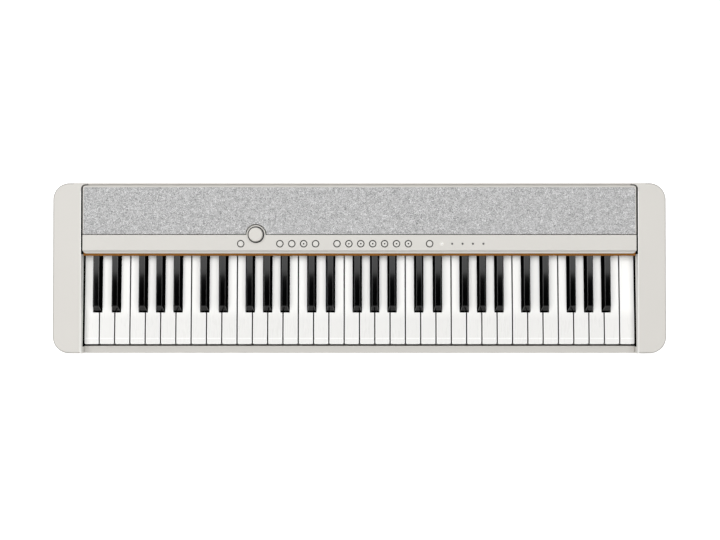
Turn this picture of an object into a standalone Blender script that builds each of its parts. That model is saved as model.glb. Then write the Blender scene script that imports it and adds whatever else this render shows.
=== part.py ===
# Portable keyboard with sixty-one keys, as separate pieces, in metres.
# X runs from the bass end to the treble end, Y from the player to the rear, Z up from the table.
import math

import bmesh
import bpy
from mathutils import Matrix, Vector

# Gap at every seat and joint line between two pieces
FIT = 0.0003

# Key layout, seen from above
OCTAVES = 5
KEY_PITCH = 0.02343
KEY_GAP = 0.0010
KEY_SIDE_GAP = 0.0011
BLACK_GAP = 0.0006
WHITE_VISIBLE = 0.1344
BLACK_VISIBLE = 0.0851
BLACK_WIDTH = 0.0126
BLACK_TOP_WIDTH = 0.0088
BLACK_FRONT_SLOPE = 0.0083
# How far each black key sits from the joint between its two white keys
BLACK_OFFSETS = {0: -0.0028, 1: 0.0024, 3: -0.0034, 4: -0.0002, 5: 0.0031}

# Key bodies
BLACK_RISE = 0.012
KEY_DEPTH = 0.012
KEY_WALL = 0.0014
KEY_ROOF = 0.0026
KEY_DRAFT = 0.0002
LIP_DROP = 0.008
LIP_WALL = 0.0026
HIDDEN_TAIL = 0.031
BLACK_STEP = 0.005
HINGE_REACH = 0.041
HINGE_HALF_DEPTH = 0.004
HINGE_PLATE = 0.0025
# Contact board and rubber strip under the keys
CONTACT_BACK_GAP = 0.058
CONTACT_DEPTH = 0.026
STRIP_INSET = 0.003
STRIP_THICKNESS = 0.0016
RIDGE_HALF = 0.003
RIDGE_SLOPE = 0.001
RIDGE_HEIGHT = 0.002

# Case, seen from above
BLOCK_WIDTH = 0.04266
CASE_DEPTH = 0.258
CORNER_RADIUS = 0.025
RAIL_DEPTH = 0.0108
KEY_FRONT_GAP = 0.0028
FELT_SHOW = 0.003
PANEL_DEPTH = 0.029
PANEL_BEVEL = 0.005
REAR_WALL = 0.0018
INSERT_SIDE_GAP = 0.0024
INSERT_REAR_GAP = 0.0018
INSERT_RADIUS = 0.007
SEAM_GAP = 0.0012

# Case heights
FOOT_HEIGHT = 0.003
FOOT_RADIUS = 0.010
FOOT_INSET = 0.031
CASE_WALL = 0.0025
SPLIT_RISE = 0.014
DECK_FRONT = 0.057
DECK_REAR = 0.0675
KEY_SINK = 0.014
RAIL_SINK = 0.0035
RAIL_FALL = 0.003
EDGE_FILLET = 0.0015
# Ribs, posts and the key bed inside, as shares of half the key block
RIB_SHARES = (-0.90, -0.54, -0.19, 0.19, 0.54, 0.90)
POST_SHARES = (-0.95, -0.57, -0.19, 0.19, 0.57, 0.95)
RIB_MARGIN = 0.012
BED_INSET = 0.006

# Control panel, its buttons, lights and knob
PANEL_THICKNESS = 0.0025
PANEL_LAP = 0.005
GRILLE_THICKNESS = 0.003
FELT_THICKNESS = 0.0014
FELT_CLEARANCE = 0.0012
BUTTON_ROW = 0.0149
BUTTON_PITCH = 0.01805
BUTTON_RADIUS = 0.0042
BUTTON_HOLE_GAP = 0.0015
BUTTON_PROUD = 0.0008
BUTTON_FLANGE = 0.0016
BUTTON_TRAVEL = 0.001
SWITCH_HEIGHT = 0.003
POWER_BUTTON_X = -0.1801
LEFT_BUTTONS_X = -0.1207
LEFT_BUTTONS = 4
CENTRE_BUTTONS_X = -0.0341
CENTRE_BUTTONS = 7
RIGHT_BUTTON_X = 0.1064
LIGHTS = 5
LIGHT_X = 0.1248
LIGHT_PITCH = 0.01577
LIGHT_RADIUS = 0.0013
KNOB_X = -0.157
KNOB_SET = 0.0004
KNOB_RADIUS = 0.0104
KNOB_HEIGHT = 0.0085
KNOB_HOLE_GAP = 0.0020
COLLAR_WALL = 0.0028
COLLAR_RISE = 0.0004
SHAFT_RADIUS = 0.003
CONTROL_RADIUS = 0.008
BOARD_THICKNESS = 0.0016
BOARD_DROP = 0.012

# Speakers, sockets and battery bay
SPEAKER_X = 0.300
SPEAKER_LENGTH = 0.120
SPEAKER_DEPTH = 0.028
SPEAKER_CONE = 0.84
SPEAKER_MAGNET = 0.72
SPEAKER_NECK = 0.45
SLOT_WIDTH = 0.0028
SLOT_ROWS = 7
SLOT_REACH = 0.8
SOCKET_HEIGHT = 0.036
PEDAL_X = -0.120
PEDAL_BORE = 0.00325
PEDAL_BODY = 0.006
PEDAL_LENGTH = 0.030
MAIN_BOARD_X = -0.0525
MAIN_BOARD_LENGTH = 0.095
# Each chip: place along the board, then its place and size as shares of the board's width
CHIPS = ((-0.0175, -0.16, 0.38), (0.0165, 0.11, 0.49), (0.0345, -0.27, 0.16))
JACK_BOARD_X = -0.195
JACK_BOARD_LENGTH = 0.090
PHONES_BORE = 0.00175
INLET_BORE = 0.0029
BAY_X = 0.090
BAY_LENGTH = 0.158
# Room left between the battery bay and the posts in front of it, and behind it to the rear wall
BAY_MARGIN = 0.014
BAY_HEIGHT = 0.0165
COVER_THICKNESS = 0.0012
COVER_RIM = 0.0022

# Places that follow from the sizes above
WHITE_KEYS = 7 * OCTAVES + 1
KEYBED_HALF = WHITE_KEYS * KEY_PITCH / 2
BLOCK_INNER = KEYBED_HALF - KEY_GAP / 2 + KEY_SIDE_GAP
CASE_HALF = BLOCK_INNER + BLOCK_WIDTH
CASE_FRONT = -CASE_DEPTH / 2
CASE_REAR = CASE_DEPTH / 2
RAIL_BACK = CASE_FRONT + RAIL_DEPTH
KEY_FRONT = RAIL_BACK + KEY_FRONT_GAP
FELT_FRONT = KEY_FRONT + WHITE_VISIBLE
PANEL_FRONT = FELT_FRONT + FELT_SHOW
SEAM = PANEL_FRONT + PANEL_DEPTH
BLACK_FRONT = FELT_FRONT - BLACK_VISIBLE
NOTCH_FRONT = BLACK_FRONT - KEY_GAP
KEY_REAR = FELT_FRONT + HIDDEN_TAIL
PIVOT_Y = FELT_FRONT + HINGE_REACH
INSERT_HALF = BLOCK_INNER - INSERT_SIDE_GAP
INSERT_REAR = CASE_REAR - REAR_WALL - INSERT_REAR_GAP
CASE_BOTTOM = FOOT_HEIGHT
CASE_FLOOR = CASE_BOTTOM + CASE_WALL
SPLIT = CASE_BOTTOM + SPLIT_RISE
WHITE_TOP = DECK_FRONT - KEY_SINK
BLACK_TOP = WHITE_TOP + BLACK_RISE
KEY_BOTTOM = WHITE_TOP - KEY_DEPTH
FELT_BOTTOM = BLACK_TOP + FELT_CLEARANCE
PANEL_LIP = FELT_BOTTOM + FELT_THICKNESS + FIT
HINGE_SEAT = KEY_BOTTOM - FIT - KEY_WALL
PIVOT_Z = HINGE_SEAT + FIT + 2 * HINGE_PLATE
BED_TOP = SPLIT + HINGE_PLATE
BUTTON_Y = PANEL_FRONT + BUTTON_ROW
KNOB_Y = SEAM - KNOB_SET
COLLAR_RADIUS = KNOB_RADIUS + KNOB_HOLE_GAP + COLLAR_WALL
POST_BACK = PIVOT_Y + 2 * HINGE_HALF_DEPTH
BAY_WIDTH = CASE_REAR - POST_BACK - 2 * BAY_MARGIN
TILT = math.atan2(DECK_REAR - DECK_FRONT, CASE_DEPTH)

SLOTS = {
    "case_white": ((0.76, 0.74, 0.70, 1.0), 0.45, 0.0),
    "white_key": ((0.88, 0.88, 0.86, 1.0), 0.3, 0.0),
    "black_key": ((0.012, 0.012, 0.013, 1.0), 0.35, 0.0),
    "grille_cloth": ((0.45, 0.45, 0.46, 1.0), 0.95, 0.0),
    "felt": ((0.36, 0.12, 0.01, 1.0), 0.95, 0.0),
    "button_plastic": ((0.78, 0.77, 0.73, 1.0), 0.4, 0.0),
    "light_lens": ((0.85, 0.87, 0.9, 1.0), 0.25, 0.0),
    "rubber": ((0.03, 0.03, 0.03, 1.0), 0.85, 0.0),
    "chassis_plastic": ((0.06, 0.06, 0.06, 1.0), 0.6, 0.0),
    "circuit_board": ((0.03, 0.14, 0.06, 1.0), 0.5, 0.0),
    "speaker": ((0.05, 0.05, 0.05, 1.0), 0.6, 0.2),
    "socket": ((0.02, 0.02, 0.02, 1.0), 0.5, 0.0),
}


def deck(y):
    # Height of the sloping top surface at a depth
    return DECK_FRONT + (y - CASE_FRONT) * math.tan(TILT)


def on_deck(x, y):
    # Places a piece square to the sloping top surface
    return Matrix.Translation((x, y, deck(y))) @ Matrix.Rotation(TILT, 4, "X")


def new_collection(name):
    group = bpy.data.collections.new(name)
    bpy.context.scene.collection.children.link(group)
    return group


def slot_material(slot):
    if slot in bpy.data.materials:
        return bpy.data.materials[slot]
    colour, roughness, metallic = SLOTS[slot]
    paint = bpy.data.materials.new(slot)
    paint.use_nodes = True
    shader = paint.node_tree.nodes["Principled BSDF"]
    shader.inputs["Base Color"].default_value = colour
    shader.inputs["Roughness"].default_value = roughness
    shader.inputs["Metallic"].default_value = metallic
    return paint


def make_piece(name, bm, slot, origin=(0, 0, 0), turn=0.0):
    # Turns a world-space mesh into a named object whose origin lies at the given point
    place = Matrix.Translation(origin) @ Matrix.Rotation(turn, 4, "X")
    bm.transform(place.inverted())
    mesh = bpy.data.meshes.new(name)
    bm.to_mesh(mesh)
    bm.free()
    mesh.materials.append(slot_material(slot))
    piece = bpy.data.objects.new(name, mesh)
    piece.location = origin
    piece.rotation_euler.x = turn
    parts.objects.link(piece)
    return piece


def combine(piece, bm, operation):
    # Cuts a helper shape out of a piece, or joins it on
    name = f"{piece.name}_{operation.lower()}_{len(piece.modifiers)}"
    mesh = bpy.data.meshes.new(name)
    bm.to_mesh(mesh)
    bm.free()
    helper = bpy.data.objects.new(name, mesh)
    helper.hide_render = True
    helper.display_type = "WIRE"
    helpers.objects.link(helper)
    step = piece.modifiers.new(name, "BOOLEAN")
    step.operation = operation
    step.object = helper
    step.solver = "EXACT"


def cut(piece, bm):
    combine(piece, bm, "DIFFERENCE")


def join(piece, bm):
    combine(piece, bm, "UNION")


def add_block(bm, x, y, z):
    # A box between pairs of low and high positions
    size = Matrix.Diagonal((x[1] - x[0], y[1] - y[0], z[1] - z[0], 1.0))
    middle = Matrix.Translation([sum(pair) / 2 for pair in (x, y, z)])
    bmesh.ops.create_cube(bm, size=1.0, matrix=middle @ size)


def add_rod(bm, place, low, high, radius, segments=20, top_radius=None):
    # A cylinder or cone along the local Z axis of a placing matrix
    bmesh.ops.create_cone(
        bm,
        cap_ends=True,
        segments=segments,
        radius1=radius,
        radius2=radius if top_radius is None else top_radius,
        depth=high - low,
        matrix=place @ Matrix.Translation((0, 0, (low + high) / 2)),
    )


def push_faces(bm, faces, offset, lone=False):
    # Draws faces out of a closed shape, or raises a lone outline, whose face then closes its foot
    grown = bmesh.ops.extrude_face_region(bm, geom=faces)["geom"]
    verts = [item for item in grown if isinstance(item, bmesh.types.BMVert)]
    bmesh.ops.translate(bm, vec=offset, verts=verts)
    if not lone:
        bmesh.ops.delete(bm, geom=faces, context="FACES")
    bm.normal_update()
    return verts


def add_profile(bm, outline, x):
    # Sweeps a side outline of (y, z) points along X
    face = bm.faces.new([bm.verts.new((x[0], y, z)) for y, z in outline])
    push_faces(bm, [face], (x[1] - x[0], 0, 0), lone=True)
    bmesh.ops.recalc_face_normals(bm, faces=bm.faces)


def add_slab(bm, outline, low, high):
    # Raises a plan outline of (x, y) points between two heights that may vary with y
    face = bm.faces.new([bm.verts.new((x, y, low(y))) for x, y in outline])
    for vert in push_faces(bm, [face], (0, 0, 1), lone=True):
        vert.co.z = high(vert.co.y)
    bmesh.ops.recalc_face_normals(bm, faces=bm.faces)


def arc(centre, radius, start, end, steps=6):
    # Plan points round a corner, angles in degrees
    angles = [math.radians(start + (end - start) * i / steps) for i in range(steps + 1)]
    return [(centre[0] + radius * math.cos(a), centre[1] + radius * math.sin(a)) for a in angles]


def rounded_plan(half_width, front, rear, radius):
    # Rectangle with four round corners
    right, left = half_width - radius, radius - half_width
    return (
        arc((right, front + radius), radius, -90, 0)
        + arc((right, rear - radius), radius, 0, 90)
        + arc((left, rear - radius), radius, 90, 180)
        + arc((left, front + radius), radius, 180, 270)
    )


def facing(bm, direction):
    bm.normal_update()
    return [face for face in bm.faces if face.normal.dot(Vector(direction)) > 0.9]


def slice_plane(bm, point, normal):
    geom = bm.verts[:] + bm.edges[:] + bm.faces[:]
    bmesh.ops.bisect_plane(bm, geom=geom, plane_co=point, plane_no=normal, dist=1e-7)


def key_span(number):
    left = number * KEY_PITCH - KEYBED_HALF + KEY_GAP / 2
    return left, left + KEY_PITCH - KEY_GAP


def has_black(number):
    # True where a black key follows this white key
    return 0 <= number < WHITE_KEYS - 1 and number % 7 in BLACK_OFFSETS


def black_centre(number):
    return (number + 1) * KEY_PITCH - KEYBED_HALF + BLACK_OFFSETS[number % 7]


def tail_span(number):
    # The narrow rear of a white key, between its black neighbours
    left, right = key_span(number)
    if has_black(number - 1):
        left = black_centre(number - 1) + BLACK_WIDTH / 2 + BLACK_GAP
    if has_black(number):
        right = black_centre(number) - BLACK_WIDTH / 2 - BLACK_GAP
    return left, right


def hollow_below(bm, faces, depth):
    # Opens the underside of a moulded key, with a little draft on its walls
    bmesh.ops.inset_region(bm, faces=faces, thickness=KEY_WALL, depth=0, use_even_offset=True)
    bmesh.ops.inset_region(bm, faces=faces, thickness=KEY_DRAFT, depth=-depth, use_even_offset=True)


def add_white_key(keys, number):
    bm = bmesh.new()
    left, right = key_span(number)
    tail_left, tail_right = tail_span(number)
    add_block(bm, (left, right), (KEY_FRONT, NOTCH_FRONT), (KEY_BOTTOM, WHITE_TOP))
    for edge in (tail_left, tail_right):
        if left < edge < right:
            slice_plane(bm, (edge, 0, 0), (1, 0, 0))
    middle = (tail_left + tail_right) / 2
    rear = [face for face in facing(bm, (0, 1, 0)) if abs(face.calc_center_median().x - middle) < KEY_GAP]
    push_faces(bm, rear, (0, KEY_REAR - NOTCH_FRONT, 0))
    lip_back = KEY_FRONT + LIP_WALL
    slice_plane(bm, (0, lip_back, 0), (0, 1, 0))
    under = facing(bm, (0, 0, -1))
    lip = [face for face in under if face.calc_center_median().y < lip_back]
    hollow_below(bm, [face for face in under if face not in lip], KEY_DEPTH - KEY_ROOF)
    push_faces(bm, lip, (0, 0, -LIP_DROP))
    add_mesh(keys, bm)


def add_black_key(keys, number):
    bm = bmesh.new()
    centre = black_centre(number)
    half = BLACK_WIDTH / 2
    shoulder = FELT_FRONT + BLACK_STEP
    add_block(bm, (centre - half, centre + half), (BLACK_FRONT, KEY_REAR), (KEY_BOTTOM, WHITE_TOP))
    slice_plane(bm, (0, shoulder, 0), (0, 1, 0))
    top = [face for face in facing(bm, (0, 0, 1)) if face.calc_center_median().y < shoulder]
    for vert in push_faces(bm, top, (0, 0, BLACK_TOP - WHITE_TOP)):
        vert.co.x = centre + math.copysign(BLACK_TOP_WIDTH / 2, vert.co.x - centre)
        if vert.co.y < BLACK_FRONT + KEY_GAP:
            vert.co.y += BLACK_FRONT_SLOPE
    hollow_below(bm, facing(bm, (0, 0, -1)), KEY_DEPTH - KEY_ROOF)
    add_mesh(keys, bm)


def add_mesh(target, bm):
    mesh = bpy.data.meshes.new("piece")
    bm.to_mesh(mesh)
    bm.free()
    target.from_mesh(mesh)
    bpy.data.meshes.remove(mesh)


def add_hinge_plate(bm, fingers, low, high):
    # The moulded strip that a group of keys bends from, with a finger into the rear of each key
    front, rear = PIVOT_Y - HINGE_HALF_DEPTH, PIVOT_Y + HINGE_HALF_DEPTH
    reach = KEY_REAR - KEY_WALL / 2
    ends = min(span[0] for span in fingers), max(span[1] for span in fingers)
    outline = [(ends[1], front), (ends[1], rear), (ends[0], rear), (ends[0], front)]
    for left, right in sorted(fingers):
        outline += [(left, front), (left, reach), (right, reach), (right, front)]
    trimmed = [point for i, point in enumerate(outline) if point != outline[i - 1]]
    if trimmed[0] == trimmed[-1]:
        trimmed.pop()
    add_slab(bm, trimmed, lambda y: low, lambda y: high)


def finger_span(number, black):
    inset = KEY_WALL
    if black:
        half = BLACK_WIDTH / 2 - inset
        return black_centre(number) - half, black_centre(number) + half
    left, right = tail_span(number)
    return left + inset, right - inset


def key_group(name, numbers, black, level):
    # Several keys moulded as one piece, or a single key, hinged at the rear
    keys = bmesh.new()
    for number in numbers:
        if black:
            add_black_key(keys, number)
        else:
            add_white_key(keys, number)
    plate = bmesh.new()
    low = HINGE_SEAT + FIT + level * (HINGE_PLATE + FIT)
    high = low + (2 * HINGE_PLATE if len(numbers) == 1 else HINGE_PLATE)
    spans = [finger_span(number, black) for number in numbers]
    add_hinge_plate(plate, spans, low, high)
    middle = (spans[0][0] + spans[-1][1]) / 2
    piece = make_piece(name, keys, "black_key" if black else "white_key", (middle, PIVOT_Y, PIVOT_Z))
    join(piece, plate)


def make_keys():
    letters = "cdefgab"
    middle_octave = OCTAVES // 2
    for octave in range(OCTAVES):
        first = 7 * octave
        if octave == middle_octave:
            for note, letter in enumerate(letters):
                key_group(f"key_{letter}", [first + note], False, 0)
                if note in BLACK_OFFSETS:
                    key_group(f"key_{letter}_sharp", [first + note], True, 0)
            continue
        label = octave + 1
        key_group(f"keys_cegb_{label}", [first, first + 2, first + 4, first + 6], False, 1)
        key_group(f"keys_dfa_{label}", [first + 1, first + 3, first + 5], False, 2)
        key_group(f"keys_black_{label}", [first + note for note in BLACK_OFFSETS], True, 0)
    key_group("key_c_top", [WHITE_KEYS - 1], False, 0)


def make_end_block(name, side):
    # Hollow end moulding, open below, with ledges for the panel and the grille
    bm = bmesh.new()
    inner, outer = BLOCK_INNER, CASE_HALF
    corner = INSERT_RADIUS + INSERT_REAR_GAP
    wall_front = CASE_REAR - REAR_WALL
    outline = (
        [(inner, CASE_FRONT)]
        + arc((outer - CORNER_RADIUS, CASE_FRONT + CORNER_RADIUS), CORNER_RADIUS, -90, 0)
        + arc((outer - CORNER_RADIUS, CASE_REAR - CORNER_RADIUS), CORNER_RADIUS, 0, 90)
        + [(inner - corner, CASE_REAR)]
        + arc((inner - corner, wall_front - corner), corner, 90, 0)
    )
    add_slab(bm, outline, lambda y: SPLIT + FIT, deck)
    top = max(bm.faces, key=lambda face: face.calc_center_median().z)
    rim = [edge for edge in top.edges if not (edge.verts[0].co.x < inner and edge.verts[1].co.x < inner)]
    bmesh.ops.bevel(bm, geom=rim, offset=EDGE_FILLET, segments=2, profile=0.5, affect="EDGES")
    hollow = bmesh.new()
    low, high = inner + CASE_WALL, outer - CASE_WALL
    radius = CORNER_RADIUS - CASE_WALL
    front, rear = CASE_FRONT + CASE_WALL, CASE_REAR - CASE_WALL
    room = (
        [(low, front)]
        + arc((high - radius, front + radius), radius, -90, 0)
        + arc((high - radius, rear - radius), radius, 0, 90)
        + [(low, rear)]
    )
    add_slab(hollow, room, lambda y: SPLIT - CASE_WALL, lambda y: deck(y) - CASE_WALL)
    ledges = bmesh.new()
    edge = INSERT_HALF - 2 * EDGE_FILLET
    for front, rear, drop in (
        (PANEL_FRONT + PANEL_BEVEL + CASE_WALL, SEAM - 2 * CASE_WALL, PANEL_THICKNESS),
        (SEAM + PANEL_LAP + CASE_WALL, INSERT_REAR - 2 * INSERT_RADIUS, GRILLE_THICKNESS),
    ):
        plan = [(edge, front), (low - CASE_WALL / 2, front), (low - CASE_WALL / 2, rear), (edge, rear)]
        top = drop + FIT
        add_slab(ledges, plan, lambda y: deck(y) - top - CASE_WALL, lambda y: deck(y) - top)
    for shape in (bm, hollow, ledges):
        if side < 0:
            bmesh.ops.scale(shape, vec=(-1, 1, 1), verts=shape.verts)
            bmesh.ops.reverse_faces(shape, faces=shape.faces)
    piece = make_piece(name, bm, "case_white")
    cut(piece, hollow)
    join(piece, ledges)


def make_lower_case():
    # Tray with a raised front rail and rear wall, ribs below the key bed and a battery bay
    bm = bmesh.new()
    outline = rounded_plan(CASE_HALF, CASE_FRONT, CASE_REAR, CORNER_RADIUS)
    add_slab(bm, outline, lambda y: CASE_BOTTOM, lambda y: SPLIT)
    piece = make_piece("lower_case", bm, "case_white")
    room = bmesh.new()
    wall = CASE_WALL
    inner = rounded_plan(CASE_HALF - wall, CASE_FRONT + wall, CASE_REAR - wall, CORNER_RADIUS - wall)
    add_slab(room, inner, lambda y: CASE_FLOOR, lambda y: SPLIT + wall)
    cut(piece, room)

    rail = bmesh.new()
    rail_top = WHITE_TOP - RAIL_SINK
    lap = SPLIT - wall
    add_profile(
        rail,
        [
            (CASE_FRONT, lap),
            (CASE_FRONT, rail_top - RAIL_FALL - EDGE_FILLET),
            (CASE_FRONT + EDGE_FILLET, rail_top - RAIL_FALL),
            (RAIL_BACK, rail_top),
            (RAIL_BACK, rail_top - 2 * wall),
            (RAIL_BACK - wall, rail_top - 2 * wall),
            (RAIL_BACK - wall, rail_top - wall),
            (CASE_FRONT + wall, rail_top - RAIL_FALL - wall),
            (CASE_FRONT + wall, lap),
        ],
        (FIT - BLOCK_INNER, BLOCK_INNER - FIT),
    )
    join(piece, rail)

    rear = bmesh.new()
    half = BLOCK_INNER - INSERT_RADIUS - INSERT_REAR_GAP - FIT
    face = CASE_REAR - REAR_WALL
    shelf = INSERT_REAR - INSERT_REAR_GAP
    under = GRILLE_THICKNESS + FIT
    add_profile(
        rear,
        [
            (face, lap),
            (CASE_REAR, lap),
            (CASE_REAR, deck(CASE_REAR) - EDGE_FILLET),
            (CASE_REAR - EDGE_FILLET / 2, deck(CASE_REAR)),
            (face, deck(face)),
            (face, deck(face) - under),
            (shelf, deck(shelf) - under),
            (shelf, deck(shelf) - under - wall),
            (face, deck(face) - under - wall),
        ],
        (-half, half),
    )
    join(piece, rear)

    ribs = bmesh.new()
    for share in RIB_SHARES:
        across = share * KEYBED_HALF
        add_block(
            ribs,
            (across - wall / 2, across + wall / 2),
            (KEY_FRONT + RIB_MARGIN, PIVOT_Y - RIB_MARGIN),
            (CASE_FLOOR - FIT, SPLIT - 2 * FIT),
        )
    join(piece, ribs)

    bay_y = bay_middle()
    bay = bmesh.new()
    half_x, half_y = BAY_LENGTH / 2 + wall, BAY_WIDTH / 2 + wall
    add_block(
        bay,
        (BAY_X - half_x, BAY_X + half_x),
        (bay_y - half_y, bay_y + half_y),
        (CASE_BOTTOM + FIT, CASE_BOTTOM + BAY_HEIGHT + wall),
    )
    join(piece, bay)
    opening = bmesh.new()
    add_block(
        opening,
        (BAY_X - BAY_LENGTH / 2, BAY_X + BAY_LENGTH / 2),
        (bay_y - BAY_WIDTH / 2, bay_y + BAY_WIDTH / 2),
        (CASE_BOTTOM - wall, CASE_BOTTOM + BAY_HEIGHT),
    )
    cut(piece, opening)
    rim = bmesh.new()
    add_block(
        rim,
        (BAY_X - BAY_LENGTH / 2 - COVER_RIM, BAY_X + BAY_LENGTH / 2 + COVER_RIM),
        (bay_y - BAY_WIDTH / 2 - COVER_RIM, bay_y + BAY_WIDTH / 2 + COVER_RIM),
        (CASE_BOTTOM - wall, CASE_BOTTOM + COVER_THICKNESS + FIT),
    )
    cut(piece, rim)

    columns = bmesh.new()
    for side in (-1, 1):
        x = MAIN_BOARD_X + side * MAIN_BOARD_LENGTH / 3
        place = Matrix.Translation((x, bay_y, 0))
        add_rod(columns, place, CASE_FLOOR - FIT, main_board_height() - FIT, SHAFT_RADIUS, 8)
    for side in (-1, 1):
        x = JACK_BOARD_X + side * JACK_BOARD_LENGTH / 3
        place = Matrix.Translation((x, bay_y, 0))
        add_rod(columns, place, CASE_FLOOR - FIT, jack_board_height() - FIT, SHAFT_RADIUS, 8)
    saddle = PEDAL_BODY * math.cos(math.pi / 16)
    half = PEDAL_BODY / 2
    middle = CASE_REAR - REAR_WALL - PEDAL_LENGTH / 2
    add_block(
        columns,
        (PEDAL_X - half, PEDAL_X + half),
        (middle - half, middle + half),
        (CASE_FLOOR - FIT, SOCKET_HEIGHT - saddle - FIT),
    )
    join(piece, columns)

    holes = bmesh.new()
    through = (CASE_WALL * -2, CASE_WALL)
    for x, radius in socket_holes():
        add_rod(holes, rear_facing(x), *through, radius, 16)
    for x in (-1, 1):
        for y in (CASE_FRONT + FOOT_INSET, CASE_REAR - FOOT_INSET):
            place = Matrix.Translation((x * foot_x(), y, 0))
            add_rod(holes, place, 0, CASE_BOTTOM + 2 * FIT, FOOT_RADIUS + FIT, 16)
    cut(piece, holes)


def bay_middle():
    return (POST_BACK + CASE_REAR) / 2 - CASE_WALL


def main_board_height():
    return CASE_FLOOR + 2 * CASE_WALL + BOARD_THICKNESS


def jack_board_height():
    return SOCKET_HEIGHT - PEDAL_BODY - BOARD_THICKNESS


def foot_x():
    return CASE_HALF - FOOT_INSET * 1.5


def rear_facing(x):
    # Placing matrix of a socket: local Z points out of the rear wall
    return Matrix.Translation((x, CASE_REAR, SOCKET_HEIGHT)) @ Matrix.Rotation(-math.pi / 2, 4, "X")


def socket_holes():
    # Places and radii of the holes in the rear wall
    step = JACK_BOARD_LENGTH / 3
    return (
        (PEDAL_X, PEDAL_BORE + CASE_WALL / 3),
        (JACK_BOARD_X + step, PHONES_BORE + CASE_WALL / 3),
        (JACK_BOARD_X - step, INLET_BORE + CASE_WALL / 3),
    )


def make_battery_cover():
    # Cover of the battery bay, hinged on its rear edge
    bm = bmesh.new()
    half_x = BAY_LENGTH / 2 + COVER_RIM - FIT
    half_y = BAY_WIDTH / 2 + COVER_RIM - FIT
    middle = bay_middle()
    add_block(
        bm,
        (BAY_X - half_x, BAY_X + half_x),
        (middle - half_y, middle + half_y),
        (CASE_BOTTOM, CASE_BOTTOM + COVER_THICKNESS),
    )
    half = COVER_THICKNESS / 2
    make_piece("battery_cover", bm, "case_white", (BAY_X, middle + half_y - half, CASE_BOTTOM + half))


def make_feet():
    ends = {"front": CASE_FRONT + FOOT_INSET, "rear": CASE_REAR - FOOT_INSET}
    for end, y in ends.items():
        for side, x in {"left": -foot_x(), "right": foot_x()}.items():
            bm = bmesh.new()
            add_rod(bm, Matrix.Translation((x, y, 0)), 0, CASE_BOTTOM + FIT, FOOT_RADIUS, 16)
            make_piece(f"{end}_{side}_foot", bm, "rubber", (x, y, 0))


def make_chassis():
    # Key bed with the beam that the hinge plates sit on, and posts up to the grille
    bm = bmesh.new()
    front = KEY_FRONT + BED_INSET
    beam = PIVOT_Y - HINGE_HALF_DEPTH
    half = KEYBED_HALF - KEY_SIDE_GAP
    wall = CASE_WALL
    add_profile(
        bm,
        [
            (front, SPLIT - FIT),
            (beam + wall, SPLIT - FIT),
            (beam + wall, HINGE_SEAT - wall),
            (POST_BACK - wall, HINGE_SEAT - wall),
            (POST_BACK - wall, SPLIT - FIT),
            (POST_BACK, SPLIT - FIT),
            (POST_BACK, HINGE_SEAT),
            (beam, HINGE_SEAT),
            (beam, BED_TOP),
            (front, BED_TOP),
        ],
        (-half, half),
    )
    piece = make_piece("key_chassis", bm, "chassis_plastic")
    posts = bmesh.new()
    for share in POST_SHARES:
        left, right = share * half - wall, share * half + wall
        plan = [(left, POST_BACK - wall), (right, POST_BACK - wall), (right, POST_BACK), (left, POST_BACK)]
        top = GRILLE_THICKNESS + FIT
        add_slab(posts, plan, lambda y: HINGE_SEAT - wall / 2, lambda y: deck(y) - top)
    join(piece, posts)


def make_contacts():
    # Contact board on the key bed and the rubber strip that the keys press, at its pressed height
    half = KEYBED_HALF - 2 * KEY_SIDE_GAP
    back = PIVOT_Y - 2 * HINGE_HALF_DEPTH - CONTACT_BACK_GAP
    front = back - CONTACT_DEPTH
    low = BED_TOP + FIT
    high = low + BOARD_THICKNESS
    board = bmesh.new()
    add_block(board, (-half, half), (front, back), (low, high))
    make_piece("contact_board", board, "circuit_board")
    strip = bmesh.new()
    base = high + FIT
    rib = base + STRIP_THICKNESS
    crest = rib + RIDGE_HEIGHT
    ridge = (front + back) / 2
    foot = RIDGE_HALF + RIDGE_SLOPE
    add_profile(
        strip,
        [
            (front + STRIP_INSET, base),
            (back - STRIP_INSET, base),
            (back - STRIP_INSET, rib),
            (ridge + foot, rib),
            (ridge + RIDGE_HALF, crest),
            (ridge - RIDGE_HALF, crest),
            (ridge - foot, rib),
            (front + STRIP_INSET, rib),
        ],
        (-half, half),
    )
    make_piece("contact_rubber", strip, "rubber")


def button_places():
    # Names and X positions of the round buttons, bass end first
    places = {"power_button": POWER_BUTTON_X, "right_button": RIGHT_BUTTON_X}
    for i in range(LEFT_BUTTONS):
        places[f"left_button_{i + 1}"] = LEFT_BUTTONS_X + i * BUTTON_PITCH
    for i in range(CENTRE_BUTTONS):
        places[f"centre_button_{i + 1}"] = CENTRE_BUTTONS_X + i * BUTTON_PITCH
    return places


def make_buttons():
    under = -PANEL_THICKNESS - FIT
    stem = -BOARD_DROP + SWITCH_HEIGHT + BUTTON_TRAVEL + FIT
    for name, x in button_places().items():
        bm = bmesh.new()
        place = on_deck(x, BUTTON_Y)
        reach = BUTTON_RADIUS + BUTTON_HOLE_GAP + BUTTON_FLANGE / 2
        add_rod(bm, place, under - BUTTON_TRAVEL, under, reach, 12)
        piece = make_piece(name, bm, "button_plastic", place.translation, TILT)
        cap = bmesh.new()
        add_rod(cap, place, under - BUTTON_TRAVEL / 2, BUTTON_PROUD, BUTTON_RADIUS, 16)
        join(piece, cap)
        leg = bmesh.new()
        add_rod(leg, place, stem, under - BUTTON_TRAVEL / 2, BUTTON_FLANGE, 6)
        join(piece, leg)


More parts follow.
